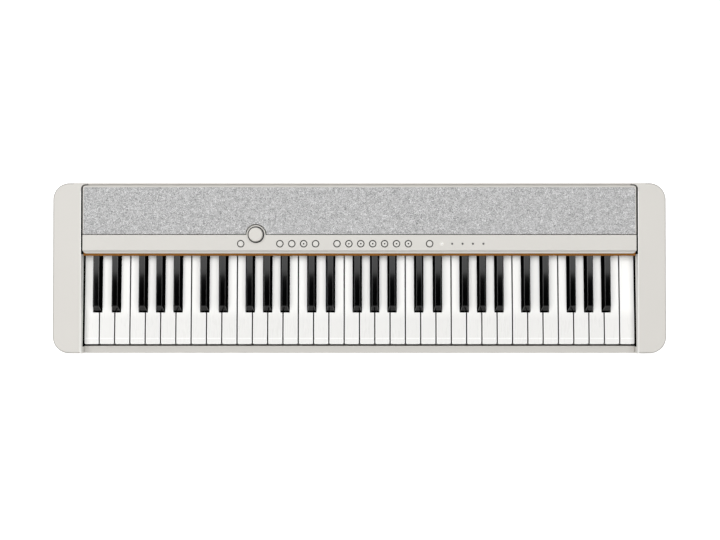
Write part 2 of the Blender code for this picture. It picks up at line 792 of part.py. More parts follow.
def make_knob():
    bm = bmesh.new()
    place = on_deck(KNOB_X, KNOB_Y)
    add_rod(bm, place, -PANEL_THICKNESS, KNOB_HEIGHT - EDGE_FILLET / 2, KNOB_RADIUS, 32)
    top = max(bm.faces, key=lambda face: face.calc_center_median().z)
    offset = place.to_3x3() @ Vector((0, 0, EDGE_FILLET / 2))
    verts = push_faces(bm, [top], offset)
    middle = sum((vert.co for vert in verts), Vector()) / len(verts)
    for vert in verts:
        vert.co = middle + (vert.co - middle) * (1 - EDGE_FILLET / 2 / KNOB_RADIUS)
    piece = make_piece("volume_knob", bm, "button_plastic", place.translation, TILT)
    bore = bmesh.new()
    depth = KNOB_HEIGHT - 2 * EDGE_FILLET
    add_rod(bore, place, -2 * PANEL_THICKNESS, depth, SHAFT_RADIUS + FIT, 24)
    cut(piece, bore)


def make_panel():
    # Strip with the buttons, lights and knob, and a lap that carries the grille's front edge
    bm = bmesh.new()
    rear = SEAM - SEAM_GAP / 2
    bevel = PANEL_FRONT + PANEL_BEVEL
    lap = GRILLE_THICKNESS + FIT
    step = rear - CASE_WALL
    thick = PANEL_THICKNESS
    inner = PANEL_FRONT + thick
    add_profile(
        bm,
        [
            (PANEL_FRONT, PANEL_LIP),
            (PANEL_FRONT, PANEL_LIP + thick / 2),
            (bevel, deck(bevel)),
            (rear, deck(rear)),
            (rear, deck(rear) - lap),
            (rear + PANEL_LAP, deck(rear + PANEL_LAP) - lap),
            (rear + PANEL_LAP, deck(rear + PANEL_LAP) - lap - thick),
            (step, deck(step) - lap - thick),
            (step, deck(step) - thick),
            (bevel + thick / 2, deck(bevel + thick / 2) - thick),
            (inner, PANEL_LIP + thick / 2),
            (inner, PANEL_LIP),
        ],
        (-INSERT_HALF, INSERT_HALF),
    )
    piece = make_piece("control_panel", bm, "case_white")
    collar = bmesh.new()
    add_rod(collar, on_deck(KNOB_X, KNOB_Y), -0.9 * thick, COLLAR_RISE, COLLAR_RADIUS, 40)
    join(piece, collar)
    bosses = bmesh.new()
    for x in boss_places():
        add_rod(bosses, on_deck(x, boss_y()), -BOARD_DROP + FIT, -thick / 2, SHAFT_RADIUS, 8)
    join(piece, bosses)
    holes = bmesh.new()
    hole = BUTTON_RADIUS + BUTTON_HOLE_GAP
    for x in button_places().values():
        add_rod(holes, on_deck(x, BUTTON_Y), -2 * thick, thick, hole, 16)
    for i in range(LIGHTS):
        place = on_deck(LIGHT_X + i * LIGHT_PITCH, BUTTON_Y)
        add_rod(holes, place, -2 * thick, thick, LIGHT_RADIUS + FIT, 8)
    add_rod(holes, on_deck(KNOB_X, KNOB_Y), -4 * thick, thick, KNOB_RADIUS + KNOB_HOLE_GAP, 32)
    cut(piece, holes)


def boss_places():
    last = LIGHT_X + (LIGHTS - 1) * LIGHT_PITCH + BUTTON_PITCH / 2
    firsts = [x - BUTTON_PITCH for x in (POWER_BUTTON_X, CENTRE_BUTTONS_X, RIGHT_BUTTON_X)]
    return (*firsts, last)


def boss_y():
    return BUTTON_Y + BUTTON_RADIUS + BUTTON_HOLE_GAP + BUTTON_FLANGE + SHAFT_RADIUS / 2


def make_light_strip():
    # Clear strip whose pins carry light up through the panel
    bm = bmesh.new()
    place = on_deck(0, BUTTON_Y)
    half = 2 * LIGHT_RADIUS
    under = -PANEL_THICKNESS - FIT
    span = (LIGHT_X - half, LIGHT_X + (LIGHTS - 1) * LIGHT_PITCH + half)
    add_block(bm, span, (-half, half), (under - half / 2, under))
    bm.transform(place)
    piece = make_piece("light_strip", bm, "light_lens")
    pins = bmesh.new()
    for i in range(LIGHTS):
        pin = on_deck(LIGHT_X + i * LIGHT_PITCH, BUTTON_Y)
        add_rod(pins, pin, under - half / 4, 0, LIGHT_RADIUS, 8)
    join(piece, pins)


def make_panel_board():
    # Circuit board below the panel with a switch for each button and the knob's control
    bm = bmesh.new()
    place = on_deck(0, BUTTON_Y)
    ends = boss_places()
    front = -BUTTON_RADIUS - BUTTON_FLANGE
    back = KNOB_Y - BUTTON_Y + CONTROL_RADIUS
    span = (ends[0] - BUTTON_RADIUS, ends[-1] + BUTTON_RADIUS)
    add_block(bm, span, (front, back), (-BOARD_DROP - BOARD_THICKNESS, -BOARD_DROP))
    bm.transform(place)
    piece = make_piece("panel_board", bm, "circuit_board")
    switches = bmesh.new()
    low = -BOARD_DROP - BOARD_THICKNESS / 2
    for x in button_places().values():
        spot = on_deck(x, BUTTON_Y)
        add_rod(switches, spot, low, -BOARD_DROP + SWITCH_HEIGHT, 2 * BUTTON_FLANGE, 6)
    for i in range(LIGHTS):
        spot = on_deck(LIGHT_X + i * LIGHT_PITCH, BUTTON_Y)
        top = -PANEL_THICKNESS - LIGHT_RADIUS - 2 * FIT
        add_rod(switches, spot, low, top, LIGHT_RADIUS, 6)
    add_rod(switches, on_deck(KNOB_X, KNOB_Y), low, -BOARD_DROP / 2, CONTROL_RADIUS, 20)
    join(piece, switches)
    shaft = bmesh.new()
    shaft_top = KNOB_HEIGHT - 2 * EDGE_FILLET - FIT
    add_rod(shaft, on_deck(KNOB_X, KNOB_Y), -BOARD_DROP / 1.5, shaft_top, SHAFT_RADIUS, 20)
    join(piece, shaft)


def make_felt():
    bm = bmesh.new()
    top = FELT_BOTTOM + FELT_THICKNESS
    back = PANEL_FRONT + PANEL_THICKNESS
    add_block(bm, (-INSERT_HALF, INSERT_HALF), (FELT_FRONT, back), (FELT_BOTTOM, top))
    make_piece("key_felt", bm, "felt")


def make_grille():
    # Sloping plate under the cloth, with slots over the speakers and a notch for the knob's collar
    bm = bmesh.new()
    front = SEAM + SEAM_GAP / 2
    radius = INSERT_RADIUS
    outline = (
        [(INSERT_HALF, front)]
        + arc((INSERT_HALF - radius, INSERT_REAR - radius), radius, 0, 90)
        + arc((radius - INSERT_HALF, INSERT_REAR - radius), radius, 90, 180)
        + [(-INSERT_HALF, front)]
    )
    add_slab(bm, outline, lambda y: deck(y) - GRILLE_THICKNESS, deck)
    piece = make_piece("speaker_grille", bm, "grille_cloth")
    notch = bmesh.new()
    reach = COLLAR_RADIUS + SEAM_GAP
    add_rod(notch, on_deck(KNOB_X, KNOB_Y), -3 * GRILLE_THICKNESS, GRILLE_THICKNESS, reach, 40)
    width = speaker_width()
    for x in (-SPEAKER_X, SPEAKER_X):
        for row in range(SLOT_ROWS):
            y = speaker_y() + width * SLOT_REACH * (row / (SLOT_ROWS - 1) - 0.5)
            half = SPEAKER_LENGTH / 2 * math.sqrt(1 - ((y - speaker_y()) / (width / 2)) ** 2) * 0.9
            plan = [
                (x - half, y - SLOT_WIDTH / 2),
                (x + half, y - SLOT_WIDTH / 2),
                (x + half, y + SLOT_WIDTH / 2),
                (x - half, y + SLOT_WIDTH / 2),
            ]
            deep = 2 * GRILLE_THICKNESS
            add_slab(notch, plan, lambda y: deck(y) - deep, lambda y: deck(y) + deep)
    cut(piece, notch)


def speaker_width():
    return INSERT_REAR - INSERT_REAR_GAP - 2 * CASE_WALL - POST_BACK


def speaker_y():
    return POST_BACK + CASE_WALL + speaker_width() / 2


def make_speakers():
    # Oval drivers: a flat rim, a basket, a magnet and a dished cone
    for name, x in {"left_speaker": -SPEAKER_X, "right_speaker": SPEAKER_X}.items():
        width = speaker_width()
        place = on_deck(x, speaker_y()) @ Matrix.Diagonal((SPEAKER_LENGTH / width, 1, 1, 1))
        top = -GRILLE_THICKNESS - FIT
        rim = top - CASE_WALL
        bottom = top - SPEAKER_DEPTH
        magnet = bottom + SPEAKER_DEPTH / 3
        radius = width / 2
        bm = bmesh.new()
        add_rod(bm, place, rim, top, radius, 28)
        piece = make_piece(name, bm, "speaker")
        basket = bmesh.new()
        add_rod(basket, place, magnet, rim + FIT, radius * SPEAKER_NECK, 28, radius * (SPEAKER_CONE + 1) / 2)
        join(piece, basket)
        core = bmesh.new()
        round_place = on_deck(x, speaker_y())
        add_rod(core, round_place, bottom, magnet + FIT, radius * SPEAKER_MAGNET, 28)
        join(piece, core)
        dish = bmesh.new()
        cone_foot = radius * SPEAKER_NECK * 0.7
        add_rod(dish, place, top - SPEAKER_DEPTH / 2.2, top + FIT, cone_foot, 28, radius * SPEAKER_CONE)
        cut(piece, dish)


def make_boards_and_jacks():
    middle = bay_middle()
    main = bmesh.new()
    low = main_board_height()
    half = BAY_WIDTH / 2 + COVER_RIM
    ends = (MAIN_BOARD_X - MAIN_BOARD_LENGTH / 2, MAIN_BOARD_X + MAIN_BOARD_LENGTH / 2)
    add_block(main, ends, (middle - half, middle + half), (low, low + BOARD_THICKNESS))
    board = make_piece("main_board", main, "circuit_board")
    chips = bmesh.new()
    for along, across, size in CHIPS:
        spot_x = MAIN_BOARD_X + along
        spot_y = middle + 2 * half * across
        half_size = half * size
        add_block(
            chips,
            (spot_x - half_size, spot_x + half_size),
            (spot_y - half_size, spot_y + half_size),
            (low + BOARD_THICKNESS / 2, low + 2 * BOARD_THICKNESS),
        )
    join(board, chips)

    level = jack_board_height()
    face = CASE_REAR - REAR_WALL - FIT
    jacks = bmesh.new()
    add_block(
        jacks,
        (JACK_BOARD_X - JACK_BOARD_LENGTH / 2, JACK_BOARD_X + JACK_BOARD_LENGTH / 2),
        (middle - SHAFT_RADIUS, face),
        (level, level + BOARD_THICKNESS),
    )
    sockets_piece = make_piece("jack_board", jacks, "socket")
    bodies = bmesh.new()
    bores = bmesh.new()
    pin = bmesh.new()
    for x, radius in socket_holes()[1:]:
        bore = radius - CASE_WALL / 3
        half = PEDAL_BODY - FIT
        add_block(
            bodies,
            (x - half, x + half),
            (face - 2 * half, face - FIT / 3),
            (level + BOARD_THICKNESS / 2, SOCKET_HEIGHT + half),
        )
        add_rod(bores, rear_facing(x), -1.7 * half - REAR_WALL, 0, bore, 16)
    inlet = socket_holes()[2][0]
    add_rod(pin, rear_facing(inlet), -1.8 * PEDAL_BODY - REAR_WALL, -2 * REAR_WALL, INLET_BORE / 3, 10)
    join(sockets_piece, bodies)
    cut(sockets_piece, bores)
    join(sockets_piece, pin)

    barrel = bmesh.new()
    out = -REAR_WALL - FIT
    add_rod(barrel, rear_facing(PEDAL_X), out - PEDAL_LENGTH, out, PEDAL_BODY, 16)
    pedal = make_piece("pedal_jack", barrel, "socket")
    hole = bmesh.new()
    add_rod(hole, rear_facing(PEDAL_X), out - PEDAL_LENGTH + CASE_WALL, 0, PEDAL_BORE, 16)
    cut(pedal, hole)


for old in list(bpy.data.objects):
    bpy.data.objects.remove(old, do_unlink=True)
parts = new_collection("portable_keyboard")
helpers = new_collection("helper_shapes")
make_lower_case()
make_end_block("right_end_block", 1)
make_end_block("left_end_block", -1)
make_battery_cover()
make_feet()
make_chassis()
make_contacts()
make_keys()
make_panel()
make_buttons()
make_light_strip()
make_knob()
make_panel_board()
make_felt()
make_grille()
make_speakers()
make_boards_and_jacks()
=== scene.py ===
import math

import bmesh
import bpy
from mathutils import Matrix, Vector


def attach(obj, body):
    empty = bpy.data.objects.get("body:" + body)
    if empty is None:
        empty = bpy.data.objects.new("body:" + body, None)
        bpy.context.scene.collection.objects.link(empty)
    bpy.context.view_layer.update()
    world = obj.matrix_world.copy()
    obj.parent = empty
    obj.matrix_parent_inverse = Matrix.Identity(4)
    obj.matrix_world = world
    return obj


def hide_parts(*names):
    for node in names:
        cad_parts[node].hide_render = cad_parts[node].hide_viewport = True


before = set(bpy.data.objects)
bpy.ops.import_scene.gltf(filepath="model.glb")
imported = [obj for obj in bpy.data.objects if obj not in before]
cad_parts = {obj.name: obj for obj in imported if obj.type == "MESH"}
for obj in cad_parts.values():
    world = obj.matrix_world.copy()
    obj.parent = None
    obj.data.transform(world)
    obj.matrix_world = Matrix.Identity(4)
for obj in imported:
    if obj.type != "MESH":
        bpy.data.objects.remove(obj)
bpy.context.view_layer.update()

# Portable keyboard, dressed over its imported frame, in metres
layout = {
    "octaves": 5,
    "whitesPerOctave": 7,
    "fit": 0.0003,
    "keyPitch": 0.02343,
    "keyGap": 0.0018,
    "blackGap": 0.0008,
    "keyFront": -0.1154,
    "notchFront": -0.0671,
    "keyRear": 0.050,
    "feltFront": 0.019,
    "panelFront": 0.022,
    "seam": 0.051,
    "hingeLine": 0.060,
    "blockInner": 0.42234,
    "caseHalf": 0.465,
    "caseFront": -0.129,
    "caseRear": 0.129,
    "railBack": -0.1182,
    "insertHalf": 0.41994,
    "insertRear": 0.1254,
    "caseBottom": 0.003,
    "split": 0.017,
    "keyBottom": 0.031,
    "whiteTop": 0.043,
    "blackTop": 0.055,
    "deckFront": 0.057,
    "deckRear": 0.0675,
    "buttonRow": 0.0369,
    "knobPlace": (-0.157, 0.0506),
}
deckTilt = math.atan2(layout["deckRear"] - layout["deckFront"], 2 * layout["caseRear"])
blackShifts = {0: -0.0028, 1: 0.0024, 3: -0.0034, 4: -0.0002, 5: 0.0031}
whiteCount = layout["whitesPerOctave"] * layout["octaves"] + 1
keybedHalf = whiteCount * layout["keyPitch"] / 2


def deck(y):
    return layout["deckFront"] + (y - layout["caseFront"]) * math.tan(deckTilt)


def onDeck(x, y):
    # local Z stands square on the sloping top
    return Matrix.Translation((x, y, deck(y))) @ Matrix.Rotation(deckTilt, 4, "X")


# finishes


class Value:
    # one socket, so that shader maths reads as sums
    def __init__(self, finish, socket):
        self.finish = finish
        self.socket = socket

    def math(self, operation, first, second=0.0):
        return self.finish.node("ShaderNodeMath", {"operation": operation}, {0: first, 1: second})

    def __add__(self, other):
        return self.math("ADD", self, other)

    def __radd__(self, other):
        return self.math("ADD", other, self)

    def __sub__(self, other):
        return self.math("SUBTRACT", self, other)

    def __rsub__(self, other):
        return self.math("SUBTRACT", other, self)

    def __mul__(self, other):
        return self.math("MULTIPLY", self, other)

    def __rmul__(self, other):
        return self.math("MULTIPLY", other, self)

    def __truediv__(self, other):
        return self.math("DIVIDE", self, other)


class Finish:
    # a Principled material and the nodes that vary it
    def __init__(self, name, colour, roughness, metallic=0.0, **fixed):
        self.material = bpy.data.materials.new(name)
        self.material.use_nodes = True
        self.tree = self.material.node_tree
        self.shader = self.tree.nodes["Principled BSDF"]
        self.shader.inputs["Base Color"].default_value = (*colour, 1.0)
        self.shader.inputs["Roughness"].default_value = roughness
        self.shader.inputs["Metallic"].default_value = metallic
        for socket, amount in fixed.items():
            self.shader.inputs[socket.replace("_", " ")].default_value = amount
        self.place = self.node("ShaderNodeTexCoord", {}, {}, "Object")

    def node(self, kind, settings, inputs, output=0):
        made = self.tree.nodes.new(kind)
        for key, setting in settings.items():
            if key == "stops":
                ramp = made.color_ramp
                for index, (position, tone) in enumerate(setting):
                    stop = ramp.elements[index] if index < 2 else ramp.elements.new(position)
                    stop.position = position
                    stop.color = (*tone, 1.0)
            else:
                setattr(made, key, setting)
        for key, value in inputs.items():
            if isinstance(value, Value):
                self.tree.links.new(value.socket, made.inputs[key])
            else:
                made.inputs[key].default_value = value
        return Value(self, made.outputs[output])

    def noise(self, scale, detail=2.0, vector=None, **more):
        inputs = {"Vector": vector or self.place, "Scale": scale, "Detail": detail}
        inputs.update({key.title(): amount for key, amount in more.items()})
        return self.node("ShaderNodeTexNoise", {}, inputs, "Fac")

    def stretched(self, x, y, z):
        return self.node("ShaderNodeMapping", {}, {"Vector": self.place, "Scale": (x, y, z)})

    def axis(self, name):
        return self.node("ShaderNodeSeparateXYZ", {}, {0: self.place}, name)

    def step(self, value, low, high):
        # 0 below low, 1 above high
        settings = {"interpolation_type": "SMOOTHSTEP"}
        inputs = {"Value": value, "From Min": low, "From Max": high}
        return self.node("ShaderNodeMapRange", settings, inputs)

    def ramp(self, value, *stops):
        return self.node("ShaderNodeValToRGB", {"stops": stops}, {0: value})

    def blend(self, share, first, second, mode="MIX"):
        first, second = ((*tone, 1.0) if isinstance(tone, tuple) else tone for tone in (first, second))
        settings = {"data_type": "RGBA", "blend_type": mode}
        return self.node("ShaderNodeMix", settings, {0: share, 6: first, 7: second}, 2)

    def feed(self, socket, value):
        self.tree.links.new(value.socket, self.shader.inputs[socket])

    def relief(self, height, depth, strength=1.0):
        inputs = {"Height": height, "Distance": depth, "Strength": strength}
        self.feed("Normal", self.node("ShaderNodeBump", {}, inputs, "Normal"))


def shade(colour, factor):
    return tuple(tone * factor for tone in colour)


def mouldedPlastic(name, colour, roughness, grain=1800, depth=0.00002, mottle=0.03, **fixed):
    # moulding texture, faint cloudiness and a little uneven gloss
    finish = Finish(name, colour, roughness, **fixed)
    cloud = finish.noise(9, 3)
    speck = finish.noise(grain, 2)
    tone = finish.blend(cloud, shade(colour, 1 - mottle), shade(colour, 1 + mottle))
    finish.feed("Base Color", finish.blend(speck * 0.06, tone, shade(colour, 0.8)))
    finish.feed("Roughness", roughness + (finish.noise(60, 3) - 0.5) * 0.12 + (speck - 0.5) * 0.06)
    finish.relief(speck, depth, 0.6)
    return finish


def keyPlastic(name, colour, roughness, dark, paintedTailLight=1.0, **fixed):
    # each key differs a little from its neighbours, and playing has polished its front
    finish = Finish(name, colour, roughness, **fixed)
    across = (finish.axis("X") + keybedHalf) / layout["keyPitch"]
    lane = finish.node("ShaderNodeMath", {"operation": "FLOOR"}, {0: across})
    own = finish.node("ShaderNodeTexWhiteNoise", {"noise_dimensions": "1D"}, {"W": lane}, "Value")
    cloud = finish.noise(35, 3)
    pale = shade(colour, 1.25 if dark else 1.02)
    tone = finish.blend(own * 0.6 + cloud * 0.4, shade(colour, 0.975), pale)
    # painted light: the key's rear, in the shade between the black keys, is painted lighter by this factor
    if paintedTailLight != 1.0:
        tone = finish.blend(finish.step(finish.axis("Y"), -0.080, -0.056), tone, shade(colour, paintedTailLight))
    streak = finish.noise(1.0, 3, finish.stretched(900, 60, 200))
    played = 1 - finish.step(finish.axis("Y"), -0.085, -0.03)
    finish.feed("Base Color", finish.blend(streak * 0.03, tone, shade(colour, 0.85)))
    finish.feed("Roughness", roughness + (streak - 0.5) * 0.06 - played * 0.04 * cloud)
    finish.relief(finish.noise(900, 2), 0.000002 if dark else 0.000004, 0.5)
    return finish


def heatherCloth(name):
    # close weave of pale and mid grey yarns, with the worm-like drift of a melange yarn
    finish = Finish(name, (0.5, 0.5, 0.51), 0.95, Sheen_Weight=0.25, Sheen_Roughness=0.5)
    drift = finish.noise(660, 3, None, distortion=2.0, roughness=0.6)
    broad = finish.noise(120, 2)
    yarns = ((0.425, (0.21, 0.21, 0.21)), (0.50, (0.50, 0.50, 0.502)), (0.58, (0.84, 0.84, 0.84)))
    tone = finish.ramp(drift * 0.90 + broad * 0.10, *yarns)
    threads = {"Vector": finish.place, "Scale": 260.0, "Distortion": 0.8, "Detail": 1.0}
    across, along = (
        finish.node("ShaderNodeTexWave", {"wave_type": "BANDS", "bands_direction": way}, threads, "Fac")
        for way in "XY"
    )
    weave = across * along
    fuzz = finish.noise(2200, 2)
    finish.feed("Base Color", finish.blend((1 - weave) * 0.16, tone, (0.22, 0.22, 0.23)))
    finish.feed("Roughness", 0.88 + fuzz * 0.12)
    finish.relief(weave * 0.7 + fuzz * 0.3 + drift * 0.5, 0.00025, 0.7)
    return finish


def woolFelt(name, colour):
    finish = Finish(name, colour, 0.95, Sheen_Weight=0.3)
    fibre = finish.noise(1.0, 4, finish.stretched(700, 1900, 1900), distortion=1.0)
    clump = finish.noise(260, 3)
    tone = finish.blend(clump, shade(colour, 0.72), shade(colour, 1.3))
    finish.feed("Base Color", finish.blend(fibre * 0.35, tone, shade(colour, 0.5)))
    finish.feed("Roughness", 0.86 + fibre * 0.14)
    finish.relief(fibre * 0.6 + clump * 0.4, 0.0004, 0.8)
    return finish


def footRubber(name, colour):
    finish = Finish(name, colour, 0.8)
    dust = finish.noise(160, 4)
    settled = finish.step(dust, 0.5, 0.75) * 0.25
    finish.feed("Base Color", finish.blend(settled, colour, (0.16, 0.155, 0.15)))
    finish.feed("Roughness", 0.72 + dust * 0.22)
    finish.relief(finish.noise(1500, 2), 0.00004, 0.7)
    return finish


def boardLacquer(name, colour):
    # green lacquer over tracks that run as straight lanes
    finish = Finish(name, colour, 0.4)
    cells = finish.node(
        "ShaderNodeTexBrick",
        {"offset": 0.35, "squash": 1.0},
        {"Vector": finish.place, "Scale": 60.0, "Mortar Size": 0.06, "Brick Width": 1.9, "Row Height": 0.16},
        "Fac",
    )
    finish.feed("Base Color", finish.blend(cells * 0.6, colour, shade(colour, 1.9)))
    finish.feed("Roughness", 0.34 + finish.noise(220, 2) * 0.16)
    finish.relief(cells, 0.00003, 0.6)
    return finish


def turnedMetal(name, colour, roughness):
    finish = Finish(name, colour, roughness, 1.0)
    scuff = finish.noise(900, 3)
    finish.feed("Base Color", finish.blend(scuff, shade(colour, 0.8), shade(colour, 1.1)))
    finish.feed("Roughness", roughness + (scuff - 0.5) * 0.2)
    finish.relief(scuff, 0.00001, 0.5)
    return finish


finishes = {
    "case": mouldedPlastic("warmWhiteShell", (0.665, 0.645, 0.607), 0.46),
    # painted shade: a darker copy of the shell for the front rail's top and the grille frame's rear rim,
    # where less light falls
    "rail": mouldedPlastic("paintedShadeRail", (0.585, 0.567, 0.532), 0.46),
    # painted shade: a darker copy of the shell for the end blocks' outer top fillets
    "rim": mouldedPlastic("paintedShadeRim", (0.44, 0.427, 0.40), 0.46),
    # painted shadow: near black for the end blocks' inner walls at key level, the walls beside the insert
    # and the ledges under it, where only shade falls
    "liner": mouldedPlastic("paintedShadowBlack", (0.003, 0.003, 0.003), 0.8, IOR=1.05),
    # the panel's emission strength sets the painted glow round the first light
    "panel": mouldedPlastic(
        "panelShell", (0.655, 0.637, 0.600), 0.42, grain=2400, depth=0.000015, Emission_Strength=0.2
    ),
    # the last argument paints the rear of each key lighter, against the shade between the black keys
    "whiteKey": keyPlastic("ivoryWhiteKey", (0.835, 0.830, 0.810), 0.30, False, 1.16),
    # painted highlight: a brighter copy of the key plastic for the key fillets, a crest line and strips
    # along the gaps
    "keyEdge": keyPlastic("brightKeyEdge", (0.94, 0.938, 0.925), 0.30, False, 1.04),
    "keySide": keyPlastic("shadedKeySide", (0.30, 0.296, 0.286), 0.45, False),
    "blackKey": keyPlastic("satinBlackKey", (0.0006, 0.0006, 0.0007), 0.06, True, Specular_IOR_Level=0.38),
    "slope": keyPlastic("satinBlackSlope", (0.0006, 0.0006, 0.0007), 0.12, True, Specular_IOR_Level=0.24),
    "blackRim": keyPlastic("glossyBlackRim", (0.0006, 0.0006, 0.0007), 0.14, True, Specular_IOR_Level=0.9),
    "flank": keyPlastic("mattBlackFlank", (0.0012, 0.0012, 0.0013), 0.85, True, IOR=1.01),
    # painted highlight: a brighter copy of the shell for the end blocks' inner edges and the panel's rear
    # and side fillets
    "edge": mouldedPlastic("paintedHighlightEdge", (0.86, 0.85, 0.82), 0.4, grain=2600, depth=0.000008),
    "cloth": heatherCloth("heatherGrilleCloth"),
    "felt": woolFelt("amberFelt", (0.235, 0.086, 0.003)),
    "button": mouldedPlastic("buttonPlastic", (0.70, 0.685, 0.65), 0.38, grain=2600, depth=0.00001),
    "well": mouldedPlastic("darkWellRing", (0.045, 0.045, 0.04), 0.5, grain=2600),
    "mark": mouldedPlastic("darkMark", (0.015, 0.015, 0.013), 0.5, grain=2600),
    "knob": mouldedPlastic("knobPlastic", (0.67, 0.65, 0.61), 0.36, grain=2600, depth=0.00001),
    "rubber": footRubber("softRubber", (0.028, 0.028, 0.028)),
    "chassis": mouldedPlastic("chassisPlastic", (0.035, 0.035, 0.036), 0.6, mottle=0.12),
    "board": boardLacquer("boardLacquer", (0.022, 0.12, 0.05)),
    "speaker": mouldedPlastic("speakerPaper", (0.03, 0.03, 0.032), 0.7, grain=900, depth=0.00008),
    "socket": mouldedPlastic("socketPlastic", (0.018, 0.018, 0.02), 0.45),
    "metal": turnedMetal("platedSteel", (0.62, 0.61, 0.58), 0.32),
    "lens": mouldedPlastic(
        "smokedLens", (0.085, 0.085, 0.08), 0.22, grain=2600, depth=0.000004, Coat_Weight=0.4
    ),
    "litLens": mouldedPlastic(
        "litLens",
        (0.95, 0.95, 0.93),
        0.25,
        grain=2600,
        depth=0.000004,
        Coat_Weight=0.4,
        Emission_Strength=0.15,
    ),
}
print("finishes made")


# shaping

axes = {"x": Vector((1, 0, 0)), "y": Vector((0, 1, 0)), "z": Vector((0, 0, 1))}


def extrude(bm, faces, offset):
    # pulls faces out by an offset, and gives the new corners
    grown = bmesh.ops.extrude_face_region(bm, geom=faces)["geom"]
    verts = [item for item in grown if isinstance(item, bmesh.types.BMVert)]
    bmesh.ops.translate(bm, vec=offset, verts=verts)
    return verts


def plate(corners, low, high, steps=10):
    # flat outline of (x, y, radius) corners, rounded in plan and raised
    bm = bmesh.new()
    verts = [bm.verts.new((x, y, low)) for x, y, radius in corners]
    bm.faces.new(verts)
    for vert, (x, y, radius) in zip(verts, corners):
        if radius:
            bmesh.ops.bevel(
                bm, geom=[vert], offset=radius, segments=steps, profile=0.5, affect="VERTICES", material=-1
            )
    extrude(bm, bm.faces[:], (0, 0, high - low))
    bmesh.ops.recalc_face_normals(bm, faces=bm.faces)
    return bm


def block(x, y, z):
    bm = bmesh.new()
    size = Matrix.Diagonal((x[1] - x[0], y[1] - y[0], z[1] - z[0], 1))
    middle = Matrix.Translation([(pair[0] + pair[1]) / 2 for pair in (x, y, z)])
    bmesh.ops.create_cube(bm, size=1, matrix=middle @ size)
    return bm


def rod(place, low, high, radius, segments):
    bm = bmesh.new()
    bmesh.ops.create_cone(
        bm,
        cap_ends=True,
        segments=segments,
        radius1=radius,
        radius2=radius,
        depth=high - low,
        matrix=place @ Matrix.Translation((0, 0, (low + high) / 2)),
    )
    return bm


def lathe(place, outline, steps=64):
    # (radius, height) outline turned once round local Z
    bm = bmesh.new()
    verts = [bm.verts.new((radius, 0, height)) for radius, height in outline]
    edges = [bm.edges.new(pair) for pair in zip(verts, verts[1:])]
    bmesh.ops.spin(
        bm, geom=verts + edges, cent=(0, 0, 0), axis=(0, 0, 1), angle=math.tau, steps=steps, use_merge=True
    )
    bmesh.ops.remove_doubles(bm, verts=bm.verts, dist=1e-7)
    bmesh.ops.recalc_face_normals(bm, faces=bm.faces)
    bm.transform(place)
    return bm


def sweep(outline, x):
    # side outline of (y, z) points drawn along X
    bm = bmesh.new()
    face = bm.faces.new([bm.verts.new((x[0], y, z)) for y, z in outline])
    extrude(bm, [face], (x[1] - x[0], 0, 0))
    bmesh.ops.recalc_face_normals(bm, faces=bm.faces)
    return bm


def rimEdges(bm, direction=(0, 0, 1), keep=lambda middle: True):
    # edges between a face along the direction and one that turns away from it
    bm.normal_update()
    aim = Vector(direction)
    chosen = []
    for edge in bm.edges:
        if len(edge.link_faces) != 2:
            continue
        leans = sorted(face.normal.dot(aim) for face in edge.link_faces)
        if leans[1] > 0.9 and leans[0] < 0.75 and keep((edge.verts[0].co + edge.verts[1].co) / 2):
            chosen.append(edge)
    return chosen


def lengthwise(bm, keep):
    # long edges along X whose place passes the test
    return [e for e in bm.edges if abs(e.verts[0].co.x - e.verts[1].co.x) > 0.5 and keep(e.verts[0].co)]


def roundOff(bm, edges, radius, segments=4):
    bmesh.ops.bevel(
        bm,
        geom=edges,
        offset=radius,
        segments=segments,
        profile=0.5,
        affect="EDGES",
        material=-1,
        clamp_overlap=True,
    )
    return bm


def slopeTop(bm, above):
    # the faces on top follow the sloping deck
    for vert in bm.verts:
        if vert.co.z > above:
            vert.co.z = deck(vert.co.y)
    return bm


def merge(target, *others):
    for other in others:
        mesh = bpy.data.meshes.new("part")
        other.to_mesh(mesh)
        other.free()
        target.from_mesh(mesh)
        bpy.data.meshes.remove(mesh)
    return target


def addObject(name, content):
    item = bpy.data.objects.new(name, content)
    bpy.context.scene.collection.objects.link(item)
    return item


def carve(bm, cutter, operation="DIFFERENCE"):
    # cuts one closed shape with another, and gives the result back
    pair = []
    for shape in (bm, cutter):
        mesh = bpy.data.meshes.new("carving")
        shape.to_mesh(mesh)
        shape.free()
        pair.append(addObject("carving", mesh))
    step = pair[0].modifiers.new("carving", "BOOLEAN")
    step.operation = operation
    step.object = pair[1]
    step.solver = "EXACT"
    result = bmesh.new()
    result.from_object(pair[0], bpy.context.evaluated_depsgraph_get())
    for item in pair:
        mesh = item.data
        bpy.data.objects.remove(item)
        bpy.data.meshes.remove(mesh)
    bmesh.ops.remove_doubles(result, verts=result.verts, dist=1e-6)
    bmesh.ops.dissolve_degenerate(result, dist=1e-6, edges=result.edges)
    return result


def drill(bm, place, radius, segments, reach=0.02):
    # a round hole right through, along the place's own Z
    return carve(bm, rod(place, -reach, reach, radius, segments))


def cutAcross(bm, axis, *places):
    # new edges where planes square to the axis cross the shape
    way = axes[axis]
    for place in places:
        everything = bm.verts[:] + bm.edges[:] + bm.faces[:]
        bmesh.ops.bisect_plane(bm, geom=everything, plane_co=way * place, plane_no=way, dist=1e-7)


def paintFaces(bm, index, test):
    for face in bm.faces:
        if test(face.calc_center_median(), face.normal):
            face.material_index = index


def pieceName(node):
    first, *others = node.split("_")
    return first + "".join(word.title() for word in others)


